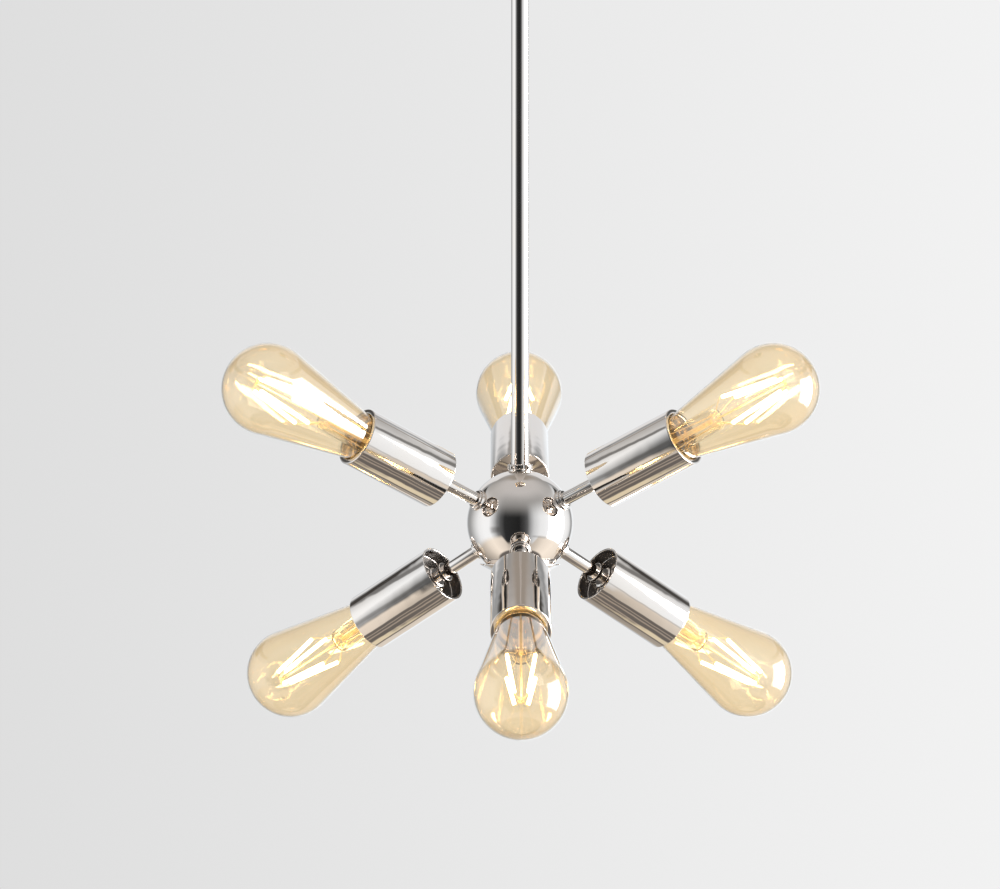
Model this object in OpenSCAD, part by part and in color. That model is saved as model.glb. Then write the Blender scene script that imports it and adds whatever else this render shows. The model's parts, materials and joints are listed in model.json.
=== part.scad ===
// Six-light cluster chandelier: a hollow ball on a rigid stem carries three arms
// that rise and three that fall. Each arm ends in a socket sleeve and a long
// filament bulb. The stem hangs from a ball swivel in a shallow ceiling canopy.
// Z is up and z = 0 is the ceiling.

/* [Drop] */
// Ceiling to the centre of the hub ball
drop = 480; // [380:10:700]
// Outside diameter of the stem
stem_d = 12.7; // [12:0.1:13.5]

/* [Canopy and straps] */
// Outside diameter of the canopy
canopy_d = 125; // [118:1:150]
// Height of the canopy
canopy_h = 25; // [24:0.5:27]
// Sheet thickness of the canopy
canopy_wall = 1.2; // [0.8:0.1:1.4]
// Spacing of the two holes that screw to the ceiling box
box_hole_spacing = 88.9; // [84:0.1:92]
// Diameter of the ceiling box screw holes
box_hole_d = 4.8; // [4.2:0.1:5.2]
// Spacing of the two screws that hold the canopy
canopy_screw_spacing = 70; // [66:1:80]

/* [Hub] */
// Outside diameter of the hub ball
hub_d = 75; // [73:1:78]
// Wall of the hub ball
hub_wall = 2; // [1.6:0.1:2.2]
// Radius of the dish under the ball
dish_r = 28.5; // [27:0.5:30]

/* [Arms] */
// Slope of the rising arms above level
rise_slope = 25; // [24:0.5:27]
// Slope of the falling arms below level
fall_slope = 30; // [28:0.5:31]
// Outside diameter of an arm
arm_d = 9.5; // [9:0.1:10]
// Hub centre to the rear rim of a sleeve
sleeve_start = 73.3; // [72:0.1:76]
// Outside diameter of a sleeve
sleeve_d = 42; // [41.6:0.1:44]
// Length of a sleeve
sleeve_l = 71; // [70:0.5:73]

/* [Bulbs] */
// Overall length of a bulb
bulb_l = 141; // [139:0.5:143]
// Largest diameter of a bulb
bulb_d = 64; // [62:0.5:65]
// Wall of the bulb glass
glass_wall = 0.9; // [0.7:0.1:1.0]
// Half angle of the bulb's cone
bulb_taper = 11.6; // [11.4:0.1:11.8]

/* [Hidden] */
$fn = 96;
// fits
gap = 0.1;
overlap = 1;

// the six arms: name, compass angle, slope
ARMS = [
    ["ub", 90, rise_slope],
    ["ul", 210, rise_slope],
    ["ur", 330, rise_slope],
    ["lf", 270, -fall_slope],
    ["ll", 150, -fall_slope],
    ["lr", 30, -fall_slope]
];

// ceiling straps
strap_t = 1.6;
box_strap_w = 22;
box_strap_l = box_hole_spacing + 15;
canopy_strap_w = 18;
canopy_strap_l = canopy_screw_spacing + 14;
rivet_r = 5;
rivet_bore = 3;
ground_x = 28;
screw_r = 2;
ground_head_r = 3.8;

// canopy
canopy_r = canopy_d / 2;
canopy_round = 7;
cup_r = 19.5;
cup_bore_r = 17.1;
cup_flange_r = 24;
cup_floor = 2.4;
cap_nut_r = 4.5;
cap_nut_h = 7;

// ball swivel, heights measured from the ball's centre
swivel_z = -27;
ball_r = 15;
ball_clear = 0.2;
ball_top = 12;
ball_bottom = -13;
seat_low = -10;
seat_high = -3;
seat_mouth_r = sqrt(pow(ball_r + ball_clear, 2) - pow(seat_low, 2));
cup_low = seat_low - gap - cup_floor;
nipple_r = 5;
nipple_bore = 3.2;
nipple_in_stem = 16;
nut_h = 4;
ball_nut_af = 16;

// hub
hub_z = -drop;
hub_r = hub_d / 2;
hub_in = hub_r - hub_wall;
dish_z = -28.8;
dish_deep = 7.2;
dish_wall = 1.2;
dish_foot_r = 17;
dish_seat_r = 23;
bridge_z = -27.3;
bridge_w = 12;
bridge_t = 1.6;
bridge_l = 2 * sqrt(pow(hub_in, 2) - pow(bridge_z, 2)) - 0.2;
finial_r = 5;
finial_h = 6;
cap_screw_r = 1.9;

// stem
stem_r = stem_d / 2;
stem_top = swivel_z + ball_bottom;
collar_r = 9;
collar_h = 3.6;
collar_neck_r = 7.85;
collar_low = hub_r + 0.1;
collar_top = collar_low + collar_h;
stem_thread_end = 28;
stem_nut_af = 17;
knurls = 32;
knurl_r = 0.4;

// stations along an arm, from the hub centre
arm_r = arm_d / 2;
arm_bore = 3;
arm_thread_r = 4;
arm_start = 30;
arm_shoulder = sleeve_start - 2.8;
arm_end = sleeve_start + 14.7;
flange_r = 7.5;
flange_top = hub_r + 1.6;
ring_r = 6.5;
ring_top = flange_top + 1.6;
arm_nut_af = 14;
arm_nut_h = 3;
arm_nut_z = sqrt(pow(hub_in, 2) - pow(arm_nut_af / sqrt(3), 2)) - arm_nut_h - 0.1;

// sleeve and the nuts at its rear
sleeve_r = sleeve_d / 2;
sleeve_wall = 1.4;
lip_r = 17.6;
lip_t = 2.5;
lip_round = 0.8;
sleeve_end = sleeve_start + sleeve_l;
web_z = sleeve_start + 8.7;
web_t = 2;
jam_ring_r = 7.2;
jam_ring_t = 2.4;
web_nut_r = 8;
web_nut_t = 4.2;
liner_t = 0.3;
liner_inset = 1;

// bulb, heights measured from its contact
bulb_z = sleeve_end - 32.3;
bulb_r = bulb_d / 2;
bulb_centre = bulb_l - bulb_r;
base_r = 13;
base_wall = 0.5;
base_low = 3.5;
base_high = 26;
skirt_r = 13.4;
skirt_low = 24.3;
neck_r = 12.3;
mouth_h = 32.3;
taper_h = bulb_centre - bulb_r * sin(bulb_taper);
taper_r = bulb_r * cos(bulb_taper);
mouth_r = taper_r - (taper_h - mouth_h) * tan(bulb_taper);
neck_low = 20;
neck_shoulder = [[neck_r, 25.5], [14.3, 27], [15.9, 29.3]];
glass_stem = [[9.2, 31], [8.4, 44], [8, 60], [6, 63]];
glass_stem_bore = [[5.4, 61.8], [7, 59.5], [7.4, 44], [8.2, 31], [10.4, 22]];
stem_glass_top = 63;
filament_low = 75;
filament_high = bulb_centre + 7;
filament_low_r = 14;
filament_high_r = 6.5;
filament_r = 1.1;
wire_r = 0.35;
rod_r = 0.6;
rod_top = filament_high + 3;
wire_start_r = 2.5;

// lampholder
holder_r = 17.5;
holder_low = web_z + web_t;
holder_high = bulb_z + 24;
shell_out = 13.7;
shell_in = 13.3;
holder_floor_top = bulb_z - 4;
holder_floor_t = 5;
wiring_r = 12.5;
wiring_low = arm_end + 2;
tab_w = 6;
tab_l = 13;
tab_t = 0.5;
tab_head_r = 3.4;

// leads
lead_r = 0.85;
lead_offset = 1.3;
lead_start = 21;
splice_x = 8;
splice_r = 6.2;
splice_low = -14;
splice_high = 8;

// points on an arc, from one angle to another
function arc(cx, cy, r, from, to, steps) = [
    for (i = [0:steps])
        let (a = from + (to - from) * i / steps)
        [cx + r * cos(a), cy + r * sin(a)]
];

// places children along one arm, with local z running outwards from the hub centre
module along(arm) {
    translate([0, 0, hub_z]) rotate([0, 0, arm[1]]) rotate([0, 90 - arm[2], 0]) children();
}

module tube(outer, inner, low, high) {
    difference() {
        translate([0, 0, low]) cylinder(r = outer, h = high - low);
        translate([0, 0, low - overlap]) cylinder(r = inner, h = high - low + 2 * overlap);
    }
}

// a hexagon nut, af across the flats
module hex_nut(af, hole_r, low, high) {
    difference() {
        translate([0, 0, low]) cylinder(r = af / sqrt(3), h = high - low, $fn = 6);
        translate([0, 0, low - overlap]) cylinder(r = hole_r, h = high - low + 2 * overlap);
    }
}

// a rod between two points in the local x-z plane
module rod_between(from, to, r) {
    run = to[0] - from[0];
    rise = to[1] - from[1];
    translate([from[0], 0, from[1]])
        rotate([0, atan2(run, rise), 0])
            cylinder(r = r, h = norm([run, rise]));
}

// ---- ceiling fitting ----

module strap(length, width, top) {
    translate([0, 0, top - strap_t]) linear_extrude(strap_t) intersection() {
        square([length, width], center = true);
        circle(r = length / 2);
    }
}

module box_strap() {
    color("gainsboro") difference() {
        strap(box_strap_l, box_strap_w, 0);
        for (side = [-1, 1])
            translate([side * box_hole_spacing / 2, 0, -strap_t - overlap])
                cylinder(d = box_hole_d, h = strap_t + 2 * overlap);
        translate([ground_x, 0, -strap_t - overlap])
            cylinder(r = screw_r, h = strap_t + 2 * overlap);
        translate([0, 0, -strap_t - overlap])
            cylinder(r = rivet_r, h = strap_t + 2 * overlap);
    }
}

module canopy_strap() {
    color("gainsboro") difference() {
        rotate([0, 0, 90]) strap(canopy_strap_l, canopy_strap_w, -strap_t);
        for (side = [-1, 1])
            translate([0, side * canopy_screw_spacing / 2, -2 * strap_t - overlap])
                cylinder(r = screw_r, h = strap_t + 2 * overlap);
        translate([0, 0, -2 * strap_t - overlap])
            cylinder(r = rivet_r, h = strap_t + 2 * overlap);
    }
}

module strap_rivet() {
    flare_t = 1;
    color("silver") difference() {
        union() {
            translate([0, 0, -2 * strap_t]) cylinder(r = rivet_r, h = 2 * strap_t);
            translate([0, 0, -2 * strap_t - flare_t]) cylinder(r = rivet_r + 1.5, h = flare_t);
        }
        translate([0, 0, -2 * strap_t - 2 * overlap])
            cylinder(r = rivet_bore, h = 2 * strap_t + 4 * overlap);
    }
}

module ground_screw() {
    head_t = 2.2;
    shank = strap_t + 4;
    color("green") translate([ground_x, 0, 0]) difference() {
        union() {
            translate([0, 0, -shank + 3]) cylinder(r = screw_r, h = shank - 3);
            translate([0, 0, -strap_t - head_t]) cylinder(r = ground_head_r, h = head_t);
        }
        translate([0, 0, -strap_t - head_t])
            cube([2 * ground_head_r + overlap, 0.9, 1.6], center = true);
    }
}

module canopy_screws() {
    color("silver") for (side = [-1, 1])
        translate([0, side * canopy_screw_spacing / 2, -canopy_h - cap_nut_h + 2])
            cylinder(r = screw_r, h = canopy_h + cap_nut_h - 2.2);
}

module canopy() {
    inner_round = canopy_round - canopy_wall;
    inner_r = canopy_r - canopy_wall;
    color("silver") difference() {
        rotate_extrude() polygon(concat(
            [[cup_r, -canopy_h]],
            arc(canopy_r - canopy_round, canopy_round - canopy_h, canopy_round, -90, 0, 8),
            [[canopy_r, 0], [inner_r, 0]],
            arc(canopy_r - canopy_round, canopy_round - canopy_h, inner_round, 0, -90, 8),
            [[cup_r, canopy_wall - canopy_h]]
        ));
        for (side = [-1, 1])
            translate([0, side * canopy_screw_spacing / 2, -canopy_h - overlap])
                cylinder(r = screw_r + 0.2, h = canopy_wall + 2 * overlap);
    }
}

module cap_nuts() {
    dome = 2.5;
    color("silver") for (side = [-1, 1])
        translate([0, side * canopy_screw_spacing / 2, -canopy_h - cap_nut_h])
            difference() {
                rotate_extrude() polygon(concat(
                    [[0, 0]],
                    arc(cap_nut_r - dome, dome, dome, -90, 0, 6),
                    [[cap_nut_r, cap_nut_h], [0, cap_nut_h]]
                ));
                translate([0, 0, 2]) cylinder(r = screw_r, h = cap_nut_h);
            }
}

module swivel_cup() {
    low = swivel_z + cup_low;
    flange_low = canopy_wall - canopy_h;
    flange_t = 1.5;
    top = flange_low + flange_t + 1.2;
    color("silver") rotate_extrude() polygon([
        [seat_mouth_r + 0.2, low + cup_floor],
        [seat_mouth_r + 1.8, low],
        [cup_r - 3, low],
        [cup_r - 1, low + 1],
        [cup_r, low + 3],
        [cup_r, flange_low],
        [cup_flange_r, flange_low],
        [cup_flange_r, flange_low + flange_t],
        [cup_r, flange_low + flange_t],
        [cup_r, top],
        [cup_bore_r, top],
        [cup_bore_r, low + cup_floor]
    ]);
}

module seat_ring() {
    sphere_r = ball_r + ball_clear;
    outer = cup_bore_r - gap;
    color("whitesmoke") translate([0, 0, swivel_z]) difference() {
        translate([0, 0, seat_low]) cylinder(r = outer, h = seat_high - seat_low);
        sphere(r = sphere_r);
        translate([0, 0, seat_low - overlap]) cylinder(r = seat_mouth_r, h = 2 * overlap);
    }
}

// ---- hanging parts ----

module swivel_ball() {
    color("silver") translate([0, 0, swivel_z]) difference() {
        intersection() {
            sphere(r = ball_r);
            translate([0, 0, ball_bottom]) cylinder(r = ball_r + 1, h = ball_top - ball_bottom);
        }
        translate([0, 0, -2 * ball_r]) cylinder(r = nipple_r, h = 4 * ball_r);
    }
}

module ball_nut() {
    low = swivel_z + ball_top;
    color("goldenrod") hex_nut(ball_nut_af, nipple_r, low, low + nut_h);
}

module stem_nipple() {
    color("goldenrod")
        tube(nipple_r, nipple_bore, stem_top - nipple_in_stem, swivel_z + ball_top + nut_h + 1);
}

module stem() {
    collar_z = hub_z + collar_top;
    thread_z = hub_z + stem_thread_end;
    color("silver") difference() {
        union() {
            translate([0, 0, collar_z]) cylinder(r = stem_r, h = stem_top - collar_z);
            translate([0, 0, thread_z]) cylinder(r = nipple_r, h = collar_z - thread_z + overlap);
        }
        translate([0, 0, thread_z - overlap])
            cylinder(r = nipple_bore, h = stem_top - thread_z + 2 * overlap);
        translate([0, 0, stem_top - nipple_in_stem])
            cylinder(r = nipple_r, h = nipple_in_stem + overlap);
    }
}

module stem_collar() {
    color("gray") translate([0, 0, hub_z]) difference() {
        union() {
            translate([0, 0, collar_low]) cylinder(r = collar_r, h = collar_h);
            translate([0, 0, collar_low - 1]) cylinder(r = collar_neck_r, h = 2);
        }
        sphere(r = hub_r);
        translate([0, 0, collar_low - 2 * overlap]) cylinder(r = nipple_r, h = collar_h + 4);
        for (i = [0:knurls - 1]) rotate([0, 0, i * 360 / knurls])
            translate([collar_r, 0, collar_low - overlap])
                cylinder(r = knurl_r, h = collar_h + 2 * overlap, $fn = 6);
    }
}

module stem_nut() {
    top = hub_z + sqrt(pow(hub_in, 2) - pow(stem_nut_af / sqrt(3), 2)) - 0.1;
    color("goldenrod") hex_nut(stem_nut_af, nipple_r, top - nut_h, top);
}

module hub_ball() {
    color("silver") difference() {
        translate([0, 0, hub_z]) difference() {
            sphere(r = hub_r);
            sphere(r = hub_in);
            translate([0, 0, dish_z - hub_r]) cylinder(r = hub_r, h = hub_r);
            cylinder(r = nipple_r, h = hub_d);
        }
        for (arm = ARMS) along(arm) cylinder(r = arm_r, h = hub_d);
    }
}

module hub_bridge() {
    color("gainsboro") translate([0, 0, hub_z + bridge_z]) difference() {
        linear_extrude(bridge_t) intersection() {
            square([bridge_l, bridge_w], center = true);
            circle(d = bridge_l);
        }
        translate([0, 0, -overlap]) cylinder(r = cap_screw_r, h = bridge_t + 2 * overlap);
    }
}

module hub_dish() {
    low = dish_z - dish_deep;
    rim = dish_z - 0.9;
    color("silver") translate([0, 0, hub_z]) difference() {
        rotate_extrude() polygon([
            [0, low],
            [dish_foot_r - 1.5, low],
            [dish_foot_r + 1, low + 1],
            [dish_r - 0.4, rim],
            [dish_r, rim + 0.3],
            [dish_r, dish_z],
            [dish_seat_r, dish_z],
            [dish_foot_r, low + dish_wall + 0.8],
            [dish_foot_r - 1.5, low + dish_wall],
            [0, low + dish_wall]
        ]);
        translate([0, 0, low - overlap]) cylinder(r = cap_screw_r, h = dish_wall + 2 * overlap);
    }
}

module dish_finial() {
    top = dish_z - dish_deep;
    round_r = 2.5;
    color("silver") translate([0, 0, hub_z]) {
        translate([0, 0, top - overlap])
            cylinder(r = cap_screw_r, h = bridge_z + bridge_t + 2 - top + overlap);
        rotate_extrude() polygon(concat(
            [[0, top - finial_h]],
            arc(finial_r - round_r, top - finial_h + round_r, round_r, -90, 0, 6),
            [[finial_r, top - 1], [finial_r - 1, top], [0, top]]
        ));
    }
}

module stem_leads() {
    high = swivel_z + ball_top + nut_h + 3;
    low = hub_z + splice_high + gap;
    color("black") for (turn = [0:120:240]) rotate([0, 0, turn])
        translate([lead_offset, 0, low]) cylinder(r = lead_r, h = high - low, $fn = 24);
}

module arm_leads() {
    color("black") for (arm = ARMS) along(arm) for (side = [-1, 1])
        translate([0, side * lead_offset, lead_start])
            cylinder(r = lead_r, h = wiring_low + 6 - lead_start, $fn = 24);
}

module splice_caps() {
    tip_r = 3;
    color("khaki") for (side = [-1, 1])
        translate([side * splice_x, 0, hub_z]) rotate_extrude() polygon([
            [0, splice_low],
            [tip_r, splice_low],
            [splice_r - 1, splice_high - 8],
            [splice_r, splice_high],
            [0, splice_high]
        ]);
}

module arm_tubes() {
    color("silver") for (arm = ARMS) along(arm) rotate_extrude() polygon([
        [arm_bore, arm_start],
        [arm_r, arm_start],
        [arm_r, arm_shoulder],
        [arm_thread_r, arm_shoulder],
        [arm_thread_r, arm_end],
        [arm_bore, arm_end]
    ]);
}

module hub_collars() {
    color("silver") for (arm = ARMS) along(arm) {
        difference() {
            tube(flange_r, arm_r, hub_r - 1.2, flange_top);
            sphere(r = hub_r);
        }
        tube(ring_r, arm_r, flange_top + 0.05, ring_top);
    }
}

module arm_nuts() {
    color("goldenrod") for (arm = ARMS) along(arm)
        hex_nut(arm_nut_af, arm_r, arm_nut_z, arm_nut_z + arm_nut_h);
}

module sleeve_nuts() {
    color("silver") for (arm = ARMS) along(arm) {
        tube(jam_ring_r, arm_thread_r, arm_shoulder, arm_shoulder + jam_ring_t);
        tube(web_nut_r, arm_thread_r, web_z - web_nut_t, web_z);
    }
}

module sleeve(arm) {
    inner = sleeve_r - sleeve_wall;
    web_top = web_z + web_t;
    color("silver") along(arm) rotate_extrude() polygon(concat(
        [
            [inner, sleeve_start],
            [sleeve_r - 0.3, sleeve_start],
            [sleeve_r, sleeve_start + 0.3]
        ],
        arc(sleeve_r - lip_round, sleeve_end - lip_round, lip_round, 0, 90, 4),
        arc(lip_r + lip_round, sleeve_end - lip_round, lip_round, 90, 180, 4),
        [
            [lip_r, sleeve_end - lip_t],
            [inner, sleeve_end - lip_t],
            [inner, web_top],
            [arm_thread_r, web_top],
            [arm_thread_r, web_z],
            [inner, web_z]
        ]
    ));
}

// dark rings that line the open rear of each sleeve
module sleeve_liners() {
    outer = sleeve_r - sleeve_wall;
    color("black") for (arm = ARMS) along(arm)
        tube(outer, outer - liner_t, sleeve_start + liner_inset, web_z);
}

module lampholders() {
    floor_low = holder_floor_top - holder_floor_t;
    color("white") for (arm = ARMS) along(arm) difference() {
        rotate_extrude() polygon([
            [arm_thread_r, holder_low],
            [holder_r - 1, holder_low],
            [holder_r, holder_low + 1],
            [holder_r, holder_high - 1],
            [holder_r - 1, holder_high],
            [shell_out, holder_high],
            [shell_out, holder_floor_top],
            [0, holder_floor_top],
            [0, floor_low],
            [wiring_r, floor_low],
            [wiring_r, wiring_low],
            [arm_thread_r, wiring_low]
        ]);
        for (side = [-1, 1])
            translate([0, side * 9.5, floor_low - overlap])
                cylinder(r = 1.5, h = holder_floor_t + 2 * overlap);
    }
}

module screw_shells() {
    flange = 0.5;
    low = holder_floor_top;
    color("goldenrod") for (arm = ARMS) along(arm) rotate_extrude() polygon([
        [shell_in - 4, low],
        [shell_out, low],
        [shell_out, holder_high - 1],
        [shell_in, holder_high - 1],
        [shell_in, low + flange],
        [shell_in - 4, low + flange]
    ]);
}

module contact_tabs() {
    low = holder_floor_top;
    color("goldenrod") for (arm = ARMS) along(arm) {
        translate([0, 0, low + tab_t / 2]) cube([tab_l, tab_w, tab_t], center = true);
        translate([0, 0, low]) cylinder(r = 1.4, h = bulb_z - gap - low);
        translate([0, 0, bulb_z - gap - 0.7]) cylinder(r = tab_head_r, h = 0.7);
    }
}

// ---- bulbs ----

module bulb_glass(arm) {
    w = glass_wall;
    in_r = bulb_r - w;
    color([1, 0.8, 0.45, 0.5]) along(arm) translate([0, 0, bulb_z]) rotate_extrude() polygon(concat(
        [[neck_r, neck_low]],
        neck_shoulder,
        [[mouth_r, mouth_h]],
        arc(0, bulb_centre, bulb_r, -bulb_taper, 90, 26),
        arc(0, bulb_centre, in_r, 90, -bulb_taper, 26),
        [[mouth_r - w, mouth_h]],
        [for (i = [2:-1:0]) neck_shoulder[i] + [-w, w / 2]],
        [[neck_r - w, neck_shoulder[0][1] - 1]],
        glass_stem,
        [[0, stem_glass_top], [0, glass_stem_bore[0][1]]],
        glass_stem_bore,
        [[glass_stem_bore[4][0], neck_low]]
    ));
}

module bulb_base(arm) {
    color("silver") along(arm) translate([0, 0, bulb_z]) rotate_extrude() polygon([
        [9.9, base_low],
        [base_r, base_low + 2.6],
        [base_r, skirt_low],
        [skirt_r, skirt_low + 0.2],
        [skirt_r, base_high - 0.8],
        [neck_r, base_high - 0.6],
        [neck_r, skirt_low],
        [base_r - base_wall, skirt_low - 0.3],
        [base_r - base_wall, base_low + 2.8],
        [9.4, base_low + 0.2]
    ]);
}

module bulb_contact(arm) {
    color("dimgray") along(arm) translate([0, 0, bulb_z]) rotate_extrude() polygon([
        [0, 0],
        [1.8, 0],
        [2.4, 0.5],
        [2.4, 1.2],
        [4.5, 1.2],
        [9.2, base_low - 0.1],
        [0, base_low - 0.1]
    ]);
}

module filament(arm) {
    color("orange") along(arm) translate([0, 0, bulb_z]) {
        translate([0, 0, stem_glass_top]) cylinder(r = rod_r, h = rod_top - stem_glass_top, $fn = 16);
        for (turn = [45:90:315]) rotate([0, 0, turn]) {
            rod_between([filament_low_r, filament_low],
                [filament_high_r, filament_high], filament_r);
            rod_between([wire_start_r, stem_glass_top], [filament_low_r, filament_low + 0.3], wire_r);
            rod_between([0, rod_top - 1], [filament_high_r, filament_high - 0.3], wire_r);
        }
    }
}

// ---- drawing ----

box_strap();
canopy_strap();
strap_rivet();
ground_screw();
canopy_screws();
canopy();
cap_nuts();
swivel_cup();
seat_ring();
swivel_ball();
ball_nut();
stem_nipple();
stem();
stem_collar();
stem_nut();
hub_ball();
hub_bridge();
hub_dish();
dish_finial();
stem_leads();
arm_leads();
splice_caps();
arm_tubes();
hub_collars();
arm_nuts();
sleeve_nuts();
sleeve_liners();
lampholders();
screw_shells();
contact_tabs();
for (arm = ARMS) {
    sleeve(arm);
    bulb_glass(arm);
    bulb_base(arm);
    bulb_contact(arm);
    filament(arm);
}
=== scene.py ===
import json
from math import asin, atan2, cos, hypot, pi, radians, sin, tan

import bpy
from bpy.props import FloatProperty, FloatVectorProperty, IntProperty, PointerProperty
from bpy.types import Operator, Panel, PropertyGroup
from mathutils import Matrix, Vector


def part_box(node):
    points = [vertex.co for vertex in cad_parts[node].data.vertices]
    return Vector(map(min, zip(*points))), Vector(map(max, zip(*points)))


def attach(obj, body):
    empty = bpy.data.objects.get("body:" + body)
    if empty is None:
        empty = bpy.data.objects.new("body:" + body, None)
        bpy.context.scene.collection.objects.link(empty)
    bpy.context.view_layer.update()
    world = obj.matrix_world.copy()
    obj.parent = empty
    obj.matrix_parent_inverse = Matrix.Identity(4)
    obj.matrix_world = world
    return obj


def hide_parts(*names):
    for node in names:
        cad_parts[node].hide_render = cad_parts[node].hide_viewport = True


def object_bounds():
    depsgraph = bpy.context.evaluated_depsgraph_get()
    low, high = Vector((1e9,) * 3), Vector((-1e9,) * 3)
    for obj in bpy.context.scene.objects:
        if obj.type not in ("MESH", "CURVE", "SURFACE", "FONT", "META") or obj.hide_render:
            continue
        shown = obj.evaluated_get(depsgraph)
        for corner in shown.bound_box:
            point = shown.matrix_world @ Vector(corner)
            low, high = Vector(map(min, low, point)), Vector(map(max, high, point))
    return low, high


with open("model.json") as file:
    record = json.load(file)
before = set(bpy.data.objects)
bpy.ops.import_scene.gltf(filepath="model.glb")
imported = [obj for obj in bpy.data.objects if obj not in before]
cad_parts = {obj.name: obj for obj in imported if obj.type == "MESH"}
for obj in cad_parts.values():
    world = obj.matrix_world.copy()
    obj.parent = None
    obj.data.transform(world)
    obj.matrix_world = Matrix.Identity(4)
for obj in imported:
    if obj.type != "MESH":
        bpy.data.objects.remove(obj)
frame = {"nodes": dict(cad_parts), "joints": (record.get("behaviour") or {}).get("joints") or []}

bl_info = {
    "name": "Cluster Chandelier",
    "version": (1, 0, 0),
    "blender": (4, 5, 0),
    "location": "View3D > Sidebar > Chandelier",
    "description": "Builds the pieces, finishes and studio of a six-light cluster chandelier",
    "category": "Object",
}

MM = 0.001
CAD_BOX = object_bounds()
CEILING, SEAT, HANGING = "ceiling_fitting", "swivel_seat", "chandelier"

BALL = 37.5 * MM          # radius of the hub ball
ARM_NECK = 2.8 * MM       # from the end of an arm's full width to its sleeve
ARM_TAIL = 14.7 * MM      # how far an arm's thread runs into its sleeve
WEB_DEPTH = 8.7 * MM      # from the sleeve's rear edge to its web
WEB_THICK = 2 * MM
CANOPY_WALL = 1.2 * MM
SHADE = (0.05, 0.046, 0.042, 1)


# ---- places, read from the frame ----


class Arm:
    """One arm: its name, and the matrix that stands local +Z along it, from the hub's centre."""

    def __init__(self, name, outwards, hub):
        self.name = name
        self.outwards = outwards
        self.hub = hub
        turn = atan2(outwards.y, outwards.x)
        rise = asin(outwards.z)
        self.matrix = (
            Matrix.Translation(hub)
            @ Matrix.Rotation(turn, 4, "Z")
            @ Matrix.Rotation(pi / 2 - rise, 4, "Y")
        )

    def reach(self, node):
        """Nearest and furthest distance of a CAD node from the hub, along this arm."""
        along = [(v.co - self.hub).dot(self.outwards) for v in frame["nodes"][node].data.vertices]
        return min(along), max(along)


def find_arms():
    found = []
    for joint in frame["joints"]:
        if joint["name"].endswith("_screw"):
            name = joint["name"].split("_")[1]
            found.append(Arm(name, Vector(joint["axis"]).normalized(), Vector(joint["pos_m"])))
    return found


ARMS = find_arms()
HUB = ARMS[0].hub
SWIVEL = next(Vector(j["pos_m"]) for j in frame["joints"] if j["name"] == "stem_tilt")


# ---- settings a user would change ----


class MetalSettings(PropertyGroup):
    nickel: FloatVectorProperty(
        name="Nickel", description="Colour of the polished nickel plate",
        subtype="COLOR", size=3, min=0, max=1, default=(0.82, 0.775, 0.735))
    polish: FloatProperty(
        name="Polish", description="Roughness of clean polished plate",
        min=0, max=1, default=0.035)
    brass: FloatVectorProperty(
        name="Brass", description="Colour of the turned brass",
        subtype="COLOR", size=3, min=0, max=1, default=(0.76, 0.56, 0.26))
    zinc: FloatVectorProperty(
        name="Zinc", description="Colour of the zinc-plated steel",
        subtype="COLOR", size=3, min=0, max=1, default=(0.62, 0.62, 0.60))


class TurnedSettings(PropertyGroup):
    segments: IntProperty(
        name="Segments", description="Steps round a turned piece", min=24, max=192, default=96)
    edge: FloatProperty(
        name="Edge", description="Radius of a broken edge",
        subtype="DISTANCE", unit="LENGTH", min=0, default=0.25 * MM)
    knurls: IntProperty(
        name="Knurls", description="Grooves round the stem's collar", min=12, max=60, default=32)
    thread_pitch: FloatProperty(
        name="Thread pitch", description="Pitch of the fine threads on the arms",
        subtype="DISTANCE", unit="LENGTH", min=0.0005, default=1.0 * MM)


class BulbSettings(PropertyGroup):
    tint: FloatVectorProperty(
        name="Glass tint", description="Colour that one wall of the bulb lets through",
        subtype="COLOR", size=3, min=0, max=1, default=(1.0, 0.93, 0.785))
    glow: FloatVectorProperty(
        name="Glow", description="Colour of a lit filament",
        subtype="COLOR", size=3, min=0, max=1, default=(1.0, 0.80, 0.48))
    strength: FloatProperty(
        name="Strength", description="Brightness of a lit filament", min=0, default=60.0)
    cap_pitch: FloatProperty(
        name="Cap pitch", description="Pitch of the bulb cap's rolled thread",
        subtype="DISTANCE", unit="LENGTH", min=0.001, default=3.629 * MM)
    filaments: IntProperty(
        name="Filaments", description="Filaments in each bulb", min=1, max=8, default=4)


class StudioSettings(PropertyGroup):
    distance: FloatProperty(
        name="Camera distance", description="From the camera to the hub",
        subtype="DISTANCE", unit="LENGTH", min=0.5, default=3.532)
    rise: FloatProperty(
        name="Camera height", description="Height of the camera above the hub",
        subtype="DISTANCE", unit="LENGTH", default=55.3 * MM)
    shift: FloatProperty(
        name="Camera side", description="Distance of the camera to the right of the hub",
        subtype="DISTANCE", unit="LENGTH", default=-14.2 * MM)
    view_width: FloatProperty(
        name="View width", description="Width that the view takes in at the hub",
        subtype="DISTANCE", unit="LENGTH", default=706.1 * MM)
    floor_drop: FloatProperty(
        name="Floor", description="Depth of the floor below the lowest bulb",
        subtype="DISTANCE", unit="LENGTH", default=2.4)


SETTINGS = {
    "chandelier_metal": MetalSettings,
    "chandelier_turned": TurnedSettings,
    "chandelier_bulb": BulbSettings,
    "chandelier_studio": StudioSettings,
}


# ---- outlines ----


def arc(centre, radius, start, end, steps):
    """Points (radius, height) on an arc, from one angle to another, in degrees."""
    points = []
    for i in range(steps + 1):
        a = radians(start + (end - start) * i / steps)
        points.append((centre[0] + radius * cos(a), centre[1] + radius * sin(a)))
    return points


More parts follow.
